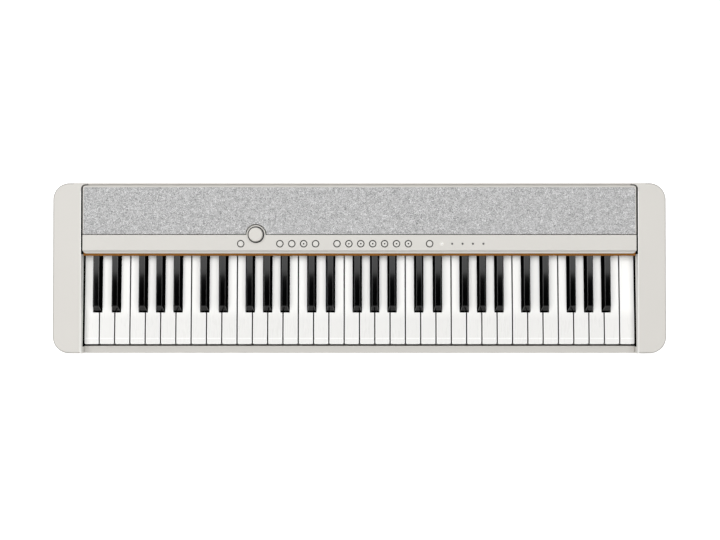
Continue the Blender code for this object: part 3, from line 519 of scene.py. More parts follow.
def makePiece(name, bm, looks, body, nodes=(), soften=0.0, segments=3, angle=35):
    # names the piece, gives it its finishes and fastens it to its body
    mesh = bpy.data.meshes.new(name)
    bm.normal_update()
    bm.to_mesh(mesh)
    bm.free()
    piece = addObject(name, mesh)
    for look in looks.split():
        mesh.materials.append(finishes[look].material)
    mesh.shade_smooth()
    mesh.set_sharp_from_angle(angle=math.radians(angle))
    if soften:
        edge = piece.modifiers.new("softEdges", "BEVEL")
        edge.width = soften
        edge.segments = segments
        edge.limit_method = "ANGLE"
        edge.angle_limit = math.radians(angle)
        edge.harden_normals = True
    even = piece.modifiers.new("evenShading", "WEIGHTED_NORMAL")
    even.keep_sharp = True
    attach(piece, body)
    if nodes:
        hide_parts(*nodes)
    return piece


# lower case with its front rail, rear wall, battery bay and sockets

caseSizes = {
    "wall": 0.0025,
    "cornerRadius": 0.025,
    "baseRound": 0.0022,
    "railTop": 0.0395,
    "railFall": 0.003,
    "railBow": 0.68,
    "railRound": 0.0013,
    "railPaint": (0.001, 0.012),
    "rearWall": 0.0018,
    "rearHalf": 0.4122,
    "rearRound": 0.0009,
    "shelfReach": 0.0036,
    # drops of the shelf's root, edge and foot below the deck
    "shelfDrops": (0.0033, 0.0034, 0.0059),
    "bayPlace": (0.090, 0.096),
    "bayHalf": (0.079, 0.0165),
    "bayTop": 0.0195,
    # radius and depth of the thumb notch, the foot wells and the screw wells
    "thumbNotch": (0.008, 0.001),
    "footWell": (0.0103, 0.0006),
    "screwWell": (0.0033, 0.0014),
}
coverSizes = {
    "rim": 0.0022,
    "thickness": 0.0012,
    "cornerRadius": 0.0012,
    "grips": 6,
    "gripInset": 0.0045,
    "gripPitch": 0.0021,
    "gripReach": 0.011,
    "gripTaper": 0.0009,
    "gripWidth": 0.001,
    "gripDepth": 0.0005,
    "grooveShare": 0.6,
    "grooveHalf": (0.02, 0.0006),
    "grooveDepth": 0.0003,
}
footSizes = {"place": (0.420, 0.098), "radius": 0.010}
screwSizes = {
    "crown": ((0, 0), (0.0014, -0.00005), (0.0024, -0.0004)),
    "edge": ((0.0027, -0.0009), (0.0027, -0.0014), (0, -0.0014)),
    "slot": ((-0.0015, 0.0015), (-0.0003, 0.0003), (-0.0007, 0.001)),
    "turn": 0.4,
}
# x and radius of the pedal jack, the phones socket and the power inlet
socketSizes = {
    "height": 0.036,
    "holes": ((-0.120, 0.00408), (-0.165, 0.00258), (-0.225, 0.00373)),
    "rimOut": 0.0001,
    "rimIn": 0.0007,
    "rimDepths": (-0.0016, -0.0007),
}
screwPlaces = [(x, y) for x in (-0.40, -0.20, 0.0, 0.20, 0.40) for y in (-0.112, 0.056)]
footX, footY = footSizes["place"]
footPlaces = {
    "front_left_foot": (-footX, -footY),
    "front_right_foot": (footX, -footY),
    "rear_left_foot": (-footX, footY),
    "rear_right_foot": (footX, footY),
}


def rearFacing(x):
    # local Z points out of the rear wall
    turned = Matrix.Rotation(-math.pi / 2, 4, "X")
    return Matrix.Translation((x, layout["caseRear"], socketSizes["height"])) @ turned


def roundedCorners(halfX, lowY, highY, radius):
    return [(-halfX, lowY, radius), (halfX, lowY, radius), (halfX, highY, radius), (-halfX, highY, radius)]


def makeLowerCase():
    s = caseSizes
    low, split, rear = layout["caseBottom"], layout["split"], layout["caseRear"]
    wall, fit, inner = s["wall"], layout["fit"], layout["blockInner"]
    shell = plate(roundedCorners(layout["caseHalf"], -rear, rear, s["cornerRadius"]), low, split, 20)
    roundOff(shell, rimEdges(shell, (0, 0, -1)), s["baseRound"], 4)
    room = roundedCorners(layout["caseHalf"] - wall, wall - rear, rear - wall, s["cornerRadius"] - wall)
    shell = carve(shell, plate(room, low + wall, split + wall, 12))
    bayX, bayY = s["bayPlace"]
    halfX, halfY = s["bayHalf"]

    def bay(margin, bottom, top):
        x = (bayX - halfX - margin, bayX + halfX + margin)
        y = (bayY - halfY - margin, bayY + halfY + margin)
        return block(x, y, (bottom, top))

    shell = carve(shell, bay(wall, low + fit, s["bayTop"] + wall), "UNION")
    shell = carve(shell, bay(0, 0, s["bayTop"]))
    shell = carve(shell, bay(coverSizes["rim"], 0, low + coverSizes["thickness"] + fit))
    wells = [(bayX, bayY - halfY - coverSizes["rim"], *s["thumbNotch"], 32)]
    wells += [(x, y, *s["screwWell"], 24) for x, y in screwPlaces]
    wells += [(x, y, *s["footWell"], 48) for x, y in footPlaces.values()]
    for x, y, radius, depth, segments in wells:
        shell = carve(shell, rod(Matrix.Translation((x, y, 0)), 0, low + depth, radius, segments))

    front, back, top = -rear, layout["railBack"], s["railTop"]
    brow = top - s["railFall"]
    rail = sweep(
        [
            (front, split - wall),
            (front, brow),
            ((front + back) / 2, top - s["railFall"] * s["railBow"]),
            (back, top),
            (back, top - 2 * wall),
            (back - wall, top - 2 * wall),
            (back - wall, top - wall),
            (front + wall, brow - wall),
            (front + wall, split - wall),
        ],
        (fit - inner, inner - fit),
    )
    near = 0.0005
    crest = lengthwise(rail, lambda p: p.z > brow - near and (p.y < front + near or p.y > back - near))
    roundOff(rail, crest, s["railRound"], 4)
    shell = carve(shell, rail, "UNION")
    face = rear - s["rearWall"]
    root, edge, foot = (deck(face) - drop for drop in s["shelfDrops"])
    wallShape = sweep(
        [
            (face, split - wall),
            (rear, split - wall),
            (rear, deck(rear)),
            (face, deck(face)),
            (face, root),
            (face - s["shelfReach"], edge),
            (face - s["shelfReach"], foot),
            (face, foot),
        ],
        (-s["rearHalf"], s["rearHalf"]),
    )
    near = 0.0002
    brink = lengthwise(wallShape, lambda p: p.z > deck(rear) - near and p.y > rear - near)
    roundOff(wallShape, brink, s["rearRound"], 3)
    shell = carve(shell, wallShape, "UNION")
    for x, radius in socketSizes["holes"]:
        shell = carve(shell, rod(rearFacing(x), -2 * wall, 0.002, radius, 32))
    shell.normal_update()
    # painted shade: the rail's top is painted with the darker rail shell
    behind, above = s["railPaint"]
    paintFaces(shell, 1, lambda p, n: p.y < back + behind and p.z > split + above and abs(p.x) < inner)
    makePiece("lowerCase", shell, "case rail", "case", ["lower_case"], 0.0003, 2)


def makeUnderside():
    screws = bmesh.new()
    for x, y in screwPlaces:
        place = Matrix.Translation((x, y, layout["caseBottom"])) @ Matrix.Rotation(math.pi, 4, "X")
        head = lathe(place, screwSizes["crown"] + screwSizes["edge"], 28)
        turn = screwSizes["turn"] * x
        for angle in (turn, turn + math.pi / 2):
            slot = block(*screwSizes["slot"])
            slot.transform(place @ Matrix.Rotation(angle, 4, "Z"))
            head = carve(head, slot)
        merge(screws, head)
    makePiece("caseScrews", screws, "metal", "case")
    radius = footSizes["radius"]
    outline = [
        (0, 0.0004),
        (0.0045, 0.0004),
        (0.0052, 0),
        (radius - 0.0012, 0),
        (radius - 0.0003, 0.0005),
        (radius, 0.0014),
        (radius, 0.0033),
        (0, 0.0033),
    ]
    for node, (x, y) in footPlaces.items():
        foot = lathe(Matrix.Translation((x, y, 0)), outline, 56)
        makePiece(pieceName(node), foot, "rubber", "case", [node])


def makeBatteryCover():
    s = coverSizes
    bayX, bayY = caseSizes["bayPlace"]
    halfX, halfY = (half + s["rim"] - layout["fit"] for half in caseSizes["bayHalf"])
    low = layout["caseBottom"]
    around = ((-1, -1), (1, -1), (1, 1), (-1, 1))
    corners = [(bayX + x * halfX, bayY + y * halfY, s["cornerRadius"]) for x, y in around]
    cover = plate(corners, low, low + s["thickness"], 5)
    for i in range(s["grips"]):
        y = bayY - halfY + s["gripInset"] + i * s["gripPitch"]
        reach = s["gripReach"] - s["gripTaper"] * i
        grip = block((bayX - reach, bayX + reach), (y, y + s["gripWidth"]), (0, low + s["gripDepth"]))
        cover = carve(cover, grip)
    long, wide = s["grooveHalf"]
    for side in (-1, 1):
        x = bayX + side * halfX * s["grooveShare"]
        groove = block((x - long, x + long), (bayY - wide, bayY + wide), (0, low + s["grooveDepth"]))
        cover = carve(cover, groove)
    makePiece("batteryCover", cover, "case", "battery_cover", ["battery_cover"], 0.0002, 2)


makeLowerCase()
makeUnderside()
makeBatteryCover()
print("lower case, feet and battery cover made")


# rounded blocks at the two ends

blockSizes = {
    "cornerRadius": 0.025,
    "outerRound": 0.0024,
    "innerRound": 0.0008,
    "innerHighlight": 0.0005,
    "roundsMeet": 0.012,
    "frontCorner": 0.002,
    "insertCorner": 0.0062,
    "cornerStart": 0.0105,
    # the inner walls are painted as shadow below this height, starting this far behind the rail
    "shadowTop": 0.0478,
    "shadowStart": 0.001,
    "openingAhead": 0.0005,
    # ledges under the insert: front, rear and drop below the deck
    "ledges": ((0.0295, 0.046, 0.0028), (0.0585, 0.1104, 0.0033)),
    "ledgeReach": 0.003,
    "ledgeSeat": 0.0004,
    "ledgeThickness": 0.0025,
}


def makeEndBlocks():
    s = blockSizes
    inner, outer, rear = layout["blockInner"], layout["caseHalf"], layout["caseRear"]
    face = rear - caseSizes["rearWall"]
    legEnd = caseSizes["rearHalf"] + layout["fit"]
    limit = inner + 0.0002
    meet = inner + s["roundsMeet"]
    strip = inner + s["innerRound"] + s["innerHighlight"]
    turn, shadowLine = face - s["cornerStart"], s["shadowTop"]
    wallEnd, opening = layout["railBack"] - s["shadowStart"], layout["panelFront"] - s["openingAhead"]
    for node, side in (("left_end_block", -1), ("right_end_block", 1)):
        corners = [
            (inner, -rear, 0),
            (outer, -rear, s["cornerRadius"]),
            (outer, rear, s["cornerRadius"]),
            (legEnd, rear, 0),
            (legEnd, face, 0),
            (inner, face, s["insertCorner"]),
        ]
        shape = slopeTop(plate(corners, layout["split"] + layout["fit"], 0.1, 22), 0.05)
        cutAcross(shape, "x", meet)
        outside = rimEdges(shape, keep=lambda p: p.x > meet + 0.0001 or (p.x > limit and p.y < 0))
        roundOff(shape, outside, s["outerRound"], 6)
        inside = rimEdges(shape, keep=lambda p: p.x <= meet and p.y > s["frontCorner"] - rear)
        roundOff(shape, inside, s["innerRound"], 4)
        cutAcross(shape, "z", shadowLine)
        cutAcross(shape, "x", strip)
        cutAcross(shape, "y", wallEnd, opening, turn)
        shape.normal_update()
        # painted highlight: a strip of the top beside the inner edge, and the inner fillet, are painted with
        # the brighter edge finish
        paintFaces(shape, 2, lambda p, n: p.x < strip and p.y < turn and p.z > shadowLine)
        paintFaces(
            shape,
            2,
            lambda p, n: 0.1 < n.z < 0.98 and n.x < 0.05 and p.y < face and p.x < limit and p.z > shadowLine,
        )
        # painted shadow: the inner walls below the shadow line, from just behind the rail, and beside the
        # insert's opening are painted near black
        paintFaces(shape, 1, lambda p, n: n.x < -0.9 and p.y > wallEnd and (p.z < shadowLine or p.y > opening))
        for low, high, drop in s["ledges"]:
            across = (layout["insertHalf"] - s["ledgeReach"], inner + s["ledgeSeat"])
            ledge = block(across, (low, high), (0.04, 0.1))
            for vert in ledge.verts:
                vert.co.z = deck(vert.co.y) - drop - (0 if vert.co.z > 0.05 else s["ledgeThickness"])
            # painted shadow: the ledge tops, seen in the gap round the insert, are painted near black
            paintFaces(ledge, 1, lambda p, n: n.z > 0.5)
            merge(shape, ledge)
        # painted shade: the outer top fillets at the sides and rear are painted with the darker rim shell
        outerSide, rearSide = limit + 0.001, face + 0.001
        paintFaces(
            shape, 3, lambda p, n: 0.1 < n.z < 0.96 and p.z > 0.05 and (p.x > outerSide or p.y > rearSide)
        )
        if side < 0:
            bmesh.ops.scale(shape, vec=(-1, 1, 1), verts=shape.verts)
            bmesh.ops.reverse_faces(shape, faces=shape.faces)
        makePiece(pieceName(node), shape, "case liner edge rim", "case", [node], 0.0002, 2)


makeEndBlocks()
print("end blocks made")


# control panel with its collar, buttons, lights and knob

panelSizes = {
    "lip": 0.0579,
    "feltGap": 0.0006,
    "cornerRadius": 0.0045,
    "bevel": 0.0044,
    "nose": 0.0009,
    "bulge": 2.2,
    "creaseRound": 0.0007,
    "sideRound": 0.0006,
    "seamRound": 0.0005,
    "frontWall": 0.006,
    "sideWall": 0.002,
    "seamGap": 0.0012,
    "thickness": 0.0025,
    "collarRadius": 0.0145,
    "collarHole": 0.0127,
    "collarRise": 0.0004,
    "collarGap": 0.0015,
    "edgeRound": 0.0003,
}
buttonSizes = {
    "radius": 0.0042,
    "hole": 0.0057,
    "flange": 0.0065,
    "proud": 0.0008,
    # heights of the flange's top and underside and of the stem's foot
    "under": (-0.0028, -0.0038, -0.0076),
    "stem": 0.0016,
    "pitch": 0.01805,
    "power": -0.1801,
    "left": -0.1207,
    "centre": -0.0341,
    "right": 0.1064,
    "dotRadius": 0.0013,
}
lightSizes = {
    "first": 0.1248,
    "pitch": 0.01577,
    "radius": 0.0013,
    "hole": 0.0016,
    "count": 5,
    "spill": 0.0040,
    "depth": 0.0030,
    "barHalf": 0.0026,
    "barHeights": (-0.0041, -0.0028),
}
knobSizes = {
    "radius": 0.0108,
    "height": 0.0080,
    "flutes": 40,
    "fluteDepth": 0.00016,
    # the flutes fade in over this much of the radius
    "fluteReach": (0.0016, 0.0012),
    "skirtGap": 0.0004,
    "skirtHeights": (-0.0010, -0.0012, -0.0025),
    "shaftHole": 0.0033,
    "capThickness": 0.003,
}

buttonPlaces = {"power_button": buttonSizes["power"], "right_button": buttonSizes["right"]}
for i in range(4):
    buttonPlaces[f"left_button_{i + 1}"] = buttonSizes["left"] + i * buttonSizes["pitch"]
for i in range(7):
    buttonPlaces[f"centre_button_{i + 1}"] = buttonSizes["centre"] + i * buttonSizes["pitch"]
lightPlaces = [
    onDeck(lightSizes["first"] + i * lightSizes["pitch"], layout["buttonRow"])
    for i in range(lightSizes["count"])
]
dottedButtons = ["left_button_3"] + [f"centre_button_{i}" for i in range(2, 8)]


def paintedGlowAroundLight(finish):
    # painted glow: emission on the panel round the first light stands in for the light that shines a little
    # through it
    x = finish.axis("X") - lightSizes["first"]
    y = finish.axis("Y") - layout["buttonRow"]
    near = 1 - finish.step(x * x + y * y, 0.0, lightSizes["spill"] ** 2)
    finish.feed("Emission Color", finish.blend(near, (0.0, 0.0, 0.0), (1.0, 1.0, 0.95)))


def makePanel():
    s = panelSizes
    half, front = layout["insertHalf"], layout["panelFront"] + s["feltGap"]
    rear = layout["seam"] - s["seamGap"] / 2
    lip, crease = s["lip"], front + s["bevel"]
    side = [
        (front, lip),
        (front, lip + s["nose"]),
        (front + s["bevel"] * 0.5, lip + s["nose"] * s["bulge"]),
        (crease, deck(crease)),
        (rear, deck(rear)),
        (rear, lip),
    ]
    shape = sweep(side, (-half, half))
    roundOff(shape, lengthwise(shape, lambda p: abs(p.y - crease) < 1e-5), s["creaseRound"], 3)
    corners = [
        (-half, front, s["cornerRadius"]),
        (half, front, s["cornerRadius"]),
        (half, rear, 0),
        (-half, rear, 0),
    ]
    shape = carve(shape, plate(corners, lip - 0.01, 0.1, 8), "INTERSECT")
    ends = rimEdges(shape, keep=lambda p: abs(p.x) > half - 0.0001 and p.y > crease + 0.0008)
    roundOff(shape, ends, s["sideRound"], 3)
    roundOff(shape, rimEdges(shape, keep=lambda p: p.y > rear - 0.0001), s["seamRound"], 3)
    shape.normal_update()
    # painted highlight: the panel's rear and side fillets are painted with the brighter edge finish
    paintRear, paintSide = rear - 0.0006, half - 0.0007
    paintFaces(
        shape,
        1,
        lambda p, n: 0.2 < n.z < 0.98 and p.y > crease and (p.y > paintRear or abs(p.x) > paintSide),
    )
    wall = s["sideWall"]
    hollow = block((wall - half, half - wall), (front + s["frontWall"], rear - wall), (0.03, 0.1))
    for vert in hollow.verts:
        vert.co.z = deck(vert.co.y) - s["thickness"] if vert.co.z > 0.05 else lip - wall
    shape = carve(shape, hollow)
    knob = onDeck(*layout["knobPlace"])
    shape = carve(shape, rod(knob, -0.0022, s["collarRise"], s["collarRadius"], 96), "UNION")
    shape = drill(shape, knob, s["collarHole"], 96)
    for x in buttonPlaces.values():
        shape = drill(shape, onDeck(x, layout["buttonRow"]), buttonSizes["hole"], 40)
    for place in lightPlaces:
        shape = drill(shape, place, lightSizes["hole"], 20)
    makePiece("controlPanel", shape, "panel edge", "case", ["control_panel"], s["edgeRound"], 2)


def makeButtons():
    s = buttonSizes
    radius, flange, top, stem = s["radius"], s["flange"], s["proud"], s["stem"]
    brim, under, foot = s["under"]
    outline = [
        (0, top),
        (s["dotRadius"], top),
        (radius - 0.0007, top - 0.00003),
        (radius - 0.0003, top - 0.00014),
        (radius - 0.00008, top - 0.00038),
        (radius, top - 0.0007),
        (radius, brim),
        (flange, brim),
        (flange, under),
        (stem, under),
        (stem, foot),
        (0, foot),
    ]
    for node, x in buttonPlaces.items():
        place = onDeck(x, layout["buttonRow"])
        back = place.inverted()
        shape = lathe(place, outline, 48)
        for face in shape.faces:
            spot = back @ face.calc_center_median()
            reach = math.hypot(spot.x, spot.y)
            if spot.z > top - 0.0001 and reach < s["dotRadius"] and node in dottedButtons:
                face.material_index = 2
            elif spot.z < brim + 0.0008 and (spot.z > brim - 0.0002 or reach > radius + 0.0001):
                face.material_index = 1
        makePiece(pieceName(node), shape, "button well mark", node, [node])


def makeLights():
    s = lightSizes
    r, foot, half = s["radius"], -s["depth"], s["barHalf"]
    outline = [(0, 0.00025), (r * 0.5, 0.0002), (r * 0.85, 0.00005), (r, -0.0002), (r, foot), (0, foot)]
    strip = bmesh.new()
    for place in lightPlaces:
        lens = lathe(place, outline, 24)
        if place is lightPlaces[0]:
            paintFaces(lens, 1, lambda p, n: True)
        merge(strip, lens)
    bar = block((-half, (s["count"] - 1) * s["pitch"] + half), (-half, half), s["barHeights"])
    bar.transform(lightPlaces[0])
    merge(strip, bar)
    makePiece("lightStrip", strip, "lens litLens", "case", ["light_strip"])


def makeKnob():
    s = knobSizes
    r, h = s["radius"], s["height"]
    skirt, bore, cap = panelSizes["collarHole"] - s["skirtGap"], s["shaftHole"], h - s["capThickness"]
    waist, brim, under = s["skirtHeights"]
    outline = [
        (0, h - 0.00012),
        (r - 0.0030, h - 0.00008),
        (r - 0.0019, h),
        (r - 0.0012, h - 0.0001),
        (r - 0.0006, h - 0.0004),
        (r - 0.00015, h - 0.0011),
        (r, h - 0.002),
        (r, h * 0.5),
        (r, 0.0),
        (r, waist),
        (skirt, brim),
        (skirt, under),
        (bore, under),
        (bore, cap),
        (0, cap),
    ]
    shape = lathe(Matrix(), outline, s["flutes"] * 6)
    paintFaces(shape, 1, lambda p, n: p.z < -0.0008 and n.z > -0.5)
    start, fade = s["fluteReach"]
    for vert in shape.verts:
        reach = math.hypot(vert.co.x, vert.co.y)
        if r - start < reach < r + 0.0001:
            wave = 0.5 + 0.5 * math.cos(s["flutes"] * math.atan2(vert.co.y, vert.co.x))
            share = min(1, (reach - r + start) / fade)
            vert.co.xy *= 1 - share * wave * s["fluteDepth"] * 2 / reach
    shape.transform(onDeck(*layout["knobPlace"]))
    makePiece("volumeKnob", shape, "knob mark", "volume_knob", ["volume_knob"])


paintedGlowAroundLight(finishes["panel"])
makePanel()
makeButtons()
makeLights()
makeKnob()
print("panel, buttons, lights and knob made")


# speaker grille: a frame with cloth stretched over it

grilleSizes = {
    "thickness": 0.003,
    "cornerRadius": 0.0045,
    "rimSide": 0.0013,
    "rimRear": 0.0030,
    "rimRound": 0.0007,
    "recess": 0.0006,
    "crown": 0.00015,
    "clothGap": 0.0001,
    "clothRound": 0.00035,
    "clothHole": 0.0004,
}
feltSizes = {"underPanel": 0.0025, "heights": (0.0562, 0.0576), "round": 0.0005}


def makeGrille():
    s = grilleSizes
    half, rear = layout["insertHalf"], layout["insertRear"]
    front = layout["seam"] + panelSizes["seamGap"] / 2
    reach = panelSizes["collarRadius"] + panelSizes["collarGap"]
    knob = onDeck(*layout["knobPlace"])

    def outline(side, back, ahead, radius):
        end, low, high = half - side, front + ahead, rear - back
        return [(-end, low, 0), (end, low, 0), (end, high, radius), (-end, high, radius)]

    def slab(corners, below, above):
        shape = plate(corners, 0.0, 0.1, 14)
        for vert in shape.verts:
            vert.co.z = deck(vert.co.y) + (above if vert.co.z > 0.05 else -below)
        return shape

    framing = slab(outline(0, 0, 0, s["cornerRadius"]), s["thickness"], 0)
    roundOff(framing, rimEdges(framing, keep=lambda p: p.y > front + 0.001), s["rimRound"], 4)
    corner = s["cornerRadius"] - s["rimSide"]
    inside = outline(s["rimSide"], s["rimRear"], -0.001, corner)
    framing = carve(framing, slab(inside, s["recess"], 0.01))
    framing = drill(framing, knob, reach, 96)
    rim = rear - s["rimRear"]
    cutAcross(framing, "y", rim - 0.0003)
    framing.normal_update()
    # painted shade: the frame's rear rim is painted with the darker rail shell
    paintFaces(framing, 1, lambda p, n: n.z > 0.2 and p.y > rim - 0.0002)
    makePiece("grilleFrame", framing, "panel rail", "case", ["speaker_grille"], 0.0002, 2)
    gap = s["clothGap"]
    inside = outline(s["rimSide"] + gap, s["rimRear"] + gap, 0, corner)
    cloth = slab(inside, s["recess"] - 0.00005, s["crown"])
    cloth = drill(cloth, knob, reach + s["clothHole"], 96)
    roundOff(cloth, rimEdges(cloth), s["clothRound"], 3)
    piece = makePiece("grilleCloth", cloth, "cloth", "case", ["speaker_grille"])


def makeFelt():
    s = feltSizes
    half, front = layout["insertHalf"], layout["feltFront"]
    strip = block((-half, half), (front, layout["panelFront"] + s["underPanel"]), s["heights"])
    roundOff(strip, lengthwise(strip, lambda p: p.y < front + 0.001), s["round"], 3)
    makePiece("keyFelt", strip, "felt", "case", ["key_felt"])


makeGrille()
makeFelt()
print("grille, cloth and felt made")


# keys

keySizes = {
    "lipDrop": 0.008,
    "lipWall": 0.0026,
    "frontRound": 0.0018,
    "topRound": 0.0006,
    "frontBand": 0.0078,
    "bandFall": 0.0008,
    "crestWidth": 0.0018,
    "besideBlack": 0.0020,
    "besideWhite": 0.0012,
    "blackWidth": 0.0126,
    "blackTopWidth": 0.0092,
    "blackSlope": 0.0080,
    "blackRound": 0.0009,
    "blackShoulder": 0.024,
    "slopeFoot": 0.0455,
    "blackFrontGap": 0.0012,
    "notchRound": 0.0006,
    # plates that the keys hinge on: bottom, step from one moulding to the next, thickness
    "plateBottom": 0.0296,
    "plateStep": 0.0028,
    "plateThickness": 0.0025,
    "plateHalfDepth": 0.004,
    "plateInset": 0.002,
    "singleInset": 0.0045,
    "blackPlateHalf": 0.005,
    "tongueHalf": 0.003,
}


def keySpan(number):
    left = number * layout["keyPitch"] - keybedHalf + layout["keyGap"] / 2
    return left, left + layout["keyPitch"] - layout["keyGap"]


def hasBlack(number):
    return 0 <= number < whiteCount - 1 and number % layout["whitesPerOctave"] in blackShifts


def blackCentre(number):
    shift = blackShifts[number % layout["whitesPerOctave"]]
    return (number + 1) * layout["keyPitch"] - keybedHalf + shift


def whiteKey(number):
    s = keySizes
    left, right = keySpan(number)
    tailLeft, tailRight = left, right
    clear = s["blackWidth"] / 2 + layout["blackGap"]
    front, notch, rear = layout["keyFront"], layout["notchFront"], layout["keyRear"]
    corners = [(left, front, s["frontRound"]), (right, front, s["frontRound"])]
    if hasBlack(number):
        tailRight = blackCentre(number) - clear
        corners += [(right, notch, s["notchRound"]), (tailRight, notch, s["notchRound"])]
    corners += [(tailRight, rear, 0)]
    if hasBlack(number - 1):
        tailLeft = blackCentre(number - 1) + clear
    corners += [(tailLeft, rear, 0)]
    if hasBlack(number - 1):
        corners += [(tailLeft, notch, s["notchRound"]), (left, notch, s["notchRound"])]
    shape = plate(corners, layout["keyBottom"], layout["whiteTop"], 4)
    band, wall, margin = front + s["frontBand"], front + s["lipWall"], s["besideWhite"]
    cutAcross(shape, "y", band, wall)
    shape.normal_update()
    lip = [f for f in shape.faces if f.normal.z < -0.9 and f.calc_center_median().y < wall]
    extrude(shape, lip, (0, 0, -s["lipDrop"]))
    bmesh.ops.delete(shape, geom=lip, context="FACES")
    for vert in shape.verts:
        ahead = band - vert.co.y
        if vert.co.z > layout["whiteTop"] - 1e-5 and ahead > 1e-5:
            vert.co.z -= s["bandFall"] * ahead / s["frontBand"]
    roundOff(shape, rimEdges(shape), s["topRound"], 3)
    crest = band + s["crestWidth"]
    cutAcross(shape, "y", crest)
    shape.normal_update()
    cutAcross(shape, "y", notch)
    # painted highlight: the top fillets, a crest line behind the front band and strips along the gaps,
    # widest beside the black keys, are painted with the brighter key finish
    paintFaces(shape, 1, lambda p, n: 0.1 < n.z < 0.985 or (n.z > 0.9 and band < p.y < crest))
    for edge, way in ((tailLeft, 1), (tailRight, -1)):
        reach = margin if edge in (left, right) else s["besideBlack"]
        cutAcross(shape, "x", edge + way * reach)
        paintFaces(shape, 1, lambda p, n: n.z > 0.9 and p.y > notch and way * (p.x - edge) < reach)
    for edge, way in ((left, 1), (right, -1)):
        cutAcross(shape, "x", edge + way * margin)
        paintFaces(shape, 1, lambda p, n: n.z > 0.9 and p.y < notch and way * (p.x - edge) < margin)
    paintFaces(shape, 2, lambda p, n: abs(n.x) > 0.9)
    return shape


def blackKey(number):
    s = keySizes
    centre = blackCentre(number)
    half = s["blackWidth"] / 2
    front, foot = layout["notchFront"] + s["blackFrontGap"], s["slopeFoot"]
    upright = (layout["keyBottom"], layout["whiteTop"])
    shape = block((centre - half, centre + half), (front, layout["keyRear"]), upright)
    cutAcross(shape, "y", s["blackShoulder"])
    shape.normal_update()
    top = [f for f in shape.faces if f.normal.z > 0.9 and f.calc_center_median().y < s["blackShoulder"]]
    raised = extrude(shape, top, (0, 0, 0))
    bmesh.ops.delete(shape, geom=top, context="FACES")
    for vert in raised:
        vert.co.z = layout["blackTop"]
        vert.co.x = centre + math.copysign(s["blackTopWidth"] / 2, vert.co.x - centre)
        if vert.co.y < front + 0.001:
            vert.co.y += s["blackSlope"]
    shape.normal_update()
    sharp = [e for e in rimEdges(shape) if min(v.co.z for v in e.verts) > layout["blackTop"] - 1e-4]
    for edge in shape.edges:
        one, other = (vert.co for vert in edge.verts)
        if abs(one.z - other.z) > 0.008 and min(one.y, other.y) < front + 0.001:
            sharp.append(edge)
    roundOff(shape, list(set(sharp)), s["blackRound"], 4)
    shape.normal_update()
    cutAcross(shape, "z", foot)
    shape.normal_update()
    paintFaces(shape, 2, lambda p, n: n.y < -0.5 and abs(n.x) < 0.2)
    paintFaces(shape, 3, lambda p, n: 0.3 < n.z < 0.985 and (n.z > 0.6 or abs(n.x) > 0.15))
    paintFaces(shape, 1, lambda p, n: abs(n.x) > 0.9 or (n.y < -0.5 and p.z < foot))
    return shape


def keyMoulding(node, numbers, black, level, name=None):
    # one key, or the keys that are moulded on one strip
    s = keySizes
    hinge, depth = layout["hingeLine"], s["plateHalfDepth"]
    reach, tongue = s["blackPlateHalf"], s["tongueHalf"]
    shape = bmesh.new()
    for number in numbers:
        merge(shape, blackKey(number) if black else whiteKey(number))
    single = len(numbers) == 1
    low = s["plateBottom"] + level * s["plateStep"]
    high = low + s["plateThickness"] * (2 if single else 1)
    spans = [(blackCentre(n) - reach, blackCentre(n) + reach) if black else keySpan(n) for n in numbers]
    inset = s["singleInset"] if single else s["plateInset"]
    ends = (spans[0][0] + inset, spans[-1][1] - inset)
    merge(shape, block(ends, (hinge - depth, hinge + depth), (low, high)))
    for left, right in spans:
        middle = (left + right) / 2
        sides = (middle - tongue, middle + tongue)
        merge(shape, block(sides, (layout["keyRear"] - 0.001, hinge - 0.003), (low, high)))
    looks = "blackKey flank slope blackRim" if black else "whiteKey keyEdge keySide"
    makePiece(name or pieceName(node), shape, looks, node, [node])


def makeKeys():
    for octave in range(layout["octaves"]):
        first = layout["whitesPerOctave"] * octave
        if octave == layout["octaves"] // 2:
            for note, letter in enumerate("cdefgab"):
                keyMoulding(f"key_{letter}", [first + note], False, 0)
                if note in blackShifts:
                    keyMoulding(f"key_{letter}_sharp", [first + note], True, 0)
            continue
        label = octave + 1
        combs = (("cegb", (0, 2, 4, 6), 1), ("dfa", (1, 3, 5), 2), ("black", blackShifts, 0))
        for comb, notes, level in combs:
            numbers = [first + note for note in notes]
            keyMoulding(f"keys_{comb}_{label}", numbers, comb == "black", level)
    keyMoulding("key_c_top", [whiteCount - 1], False, 0, "keyTopC")


makeKeys()
print("keys made")


# pieces inside and behind, kept from the frame with their own finishes

insideLooks = {
    "key_chassis": "chassis",
    "contact_board": "board",
    "contact_rubber": "rubber",
    "main_board": "board",
    "panel_board": "board",
    "jack_board": "socket",
    "pedal_jack": "socket",
    "left_speaker": "speaker",
    "right_speaker": "speaker",
}
for node, look in insideLooks.items():
    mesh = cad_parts[node].data
    mesh.materials.clear()
    mesh.materials.append(finishes[look].material)

rims = bmesh.new()
deep, shallow = socketSizes["rimDepths"]
for x, radius in socketSizes["holes"]:
    small, large = radius - socketSizes["rimIn"], radius - socketSizes["rimOut"]
    ring = [(small, deep), (large, deep), (large, shallow), (small, shallow), (small, deep)]
    merge(rims, lathe(rearFacing(x), ring, 40))
makePiece("socketRims", rims, "metal", "case")
print("inside and sockets dressed")


# floor, light and camera

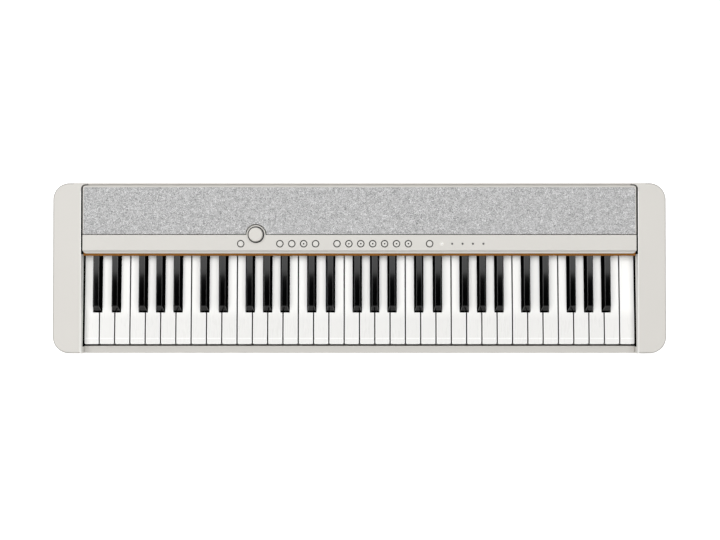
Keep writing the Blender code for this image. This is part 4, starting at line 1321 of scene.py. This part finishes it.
studio = {
    "floorHalf": 4.0,
    "floorTone": (0.98, 0.98, 0.98),
    "floorGlow": 0.35,
    "sky": 0.30,
    # the sky stays dark this near the zenith, as the cosine of the angle
    "skyOpening": (0.84, 0.91),
    "height": 2.1,
    # a ceiling of soft light with a dark opening above the camera: x span, y span, radiance
    "softboxes": (
        ((-1.75, 1.6), (0.09, 1.5), 2.33),
        ((-1.75, 1.6), (-1.7, -0.5), 1.96),
        ((-1.75, -1.02), (-0.5, 0.09), 4.4),
        ((1.02, 1.6), (-0.5, 0.09), 3.1),
    ),
}
cameraSetup = {"elevation": 87.0, "distance": 1.44, "aim": (0.0008, -0.0029, 0.062), "lens": 47.5}


def makeStudio():
    bm = bmesh.new()
    bmesh.ops.create_grid(bm, x_segments=2, y_segments=2, size=studio["floorHalf"])
    mesh = bpy.data.meshes.new("paleFloor")
    bm.to_mesh(mesh)
    bm.free()
    ground = addObject("paleFloor", mesh)
    finish = Finish("paleFloorPaint", studio["floorTone"], 0.9, Emission_Strength=studio["floorGlow"])
    finish.shader.inputs["Emission Color"].default_value = (1, 1, 1, 1)
    finish.feed("Roughness", 0.85 + finish.noise(3, 2) * 0.1)
    mesh.materials.append(finish.material)
    world = bpy.data.worlds.new("studioSky")
    world.use_nodes = True
    tree = world.node_tree
    way = tree.nodes.new("ShaderNodeTexCoord")
    parts = tree.nodes.new("ShaderNodeSeparateXYZ")
    fade = tree.nodes.new("ShaderNodeMapRange")
    low, high = studio["skyOpening"]
    for key, amount in {"From Min": low, "From Max": high, "To Min": 1.0, "To Max": 0.03}.items():
        fade.inputs[key].default_value = amount
    tree.links.new(way.outputs["Generated"], parts.inputs[0])
    tree.links.new(parts.outputs["Z"], fade.inputs["Value"])
    tree.links.new(fade.outputs["Result"], tree.nodes["Background"].inputs["Color"])
    tree.nodes["Background"].inputs["Strength"].default_value = studio["sky"]
    bpy.context.scene.world = world
    for i, (x, y, radiance) in enumerate(studio["softboxes"]):
        lamp = bpy.data.lights.new(f"softbox{i + 1}", "AREA")
        lamp.shape = "RECTANGLE"
        lamp.size, lamp.size_y = x[1] - x[0], y[1] - y[0]
        lamp.energy = radiance * lamp.size * lamp.size_y * math.pi
        holder = addObject(f"softbox{i + 1}", lamp)
        holder.location = ((x[0] + x[1]) / 2, (y[0] + y[1]) / 2, studio["height"])


def makeCamera():
    s = cameraSetup
    lens = bpy.data.cameras.new("studioCamera")
    lens.lens = s["lens"]
    lens.sensor_width = 36
    lens.clip_start = 0.05
    eye = addObject("studioCamera", lens)
    lean = math.radians(s["elevation"])
    eye.location = Vector(s["aim"]) + s["distance"] * Vector((0, -math.cos(lean), math.sin(lean)))
    eye.rotation_euler = (math.pi / 2 - lean, 0, 0)
    bpy.context.scene.camera = eye


makeStudio()
makeCamera()
bpy.context.scene.view_settings.view_transform = "Standard"
print("studio and camera made")
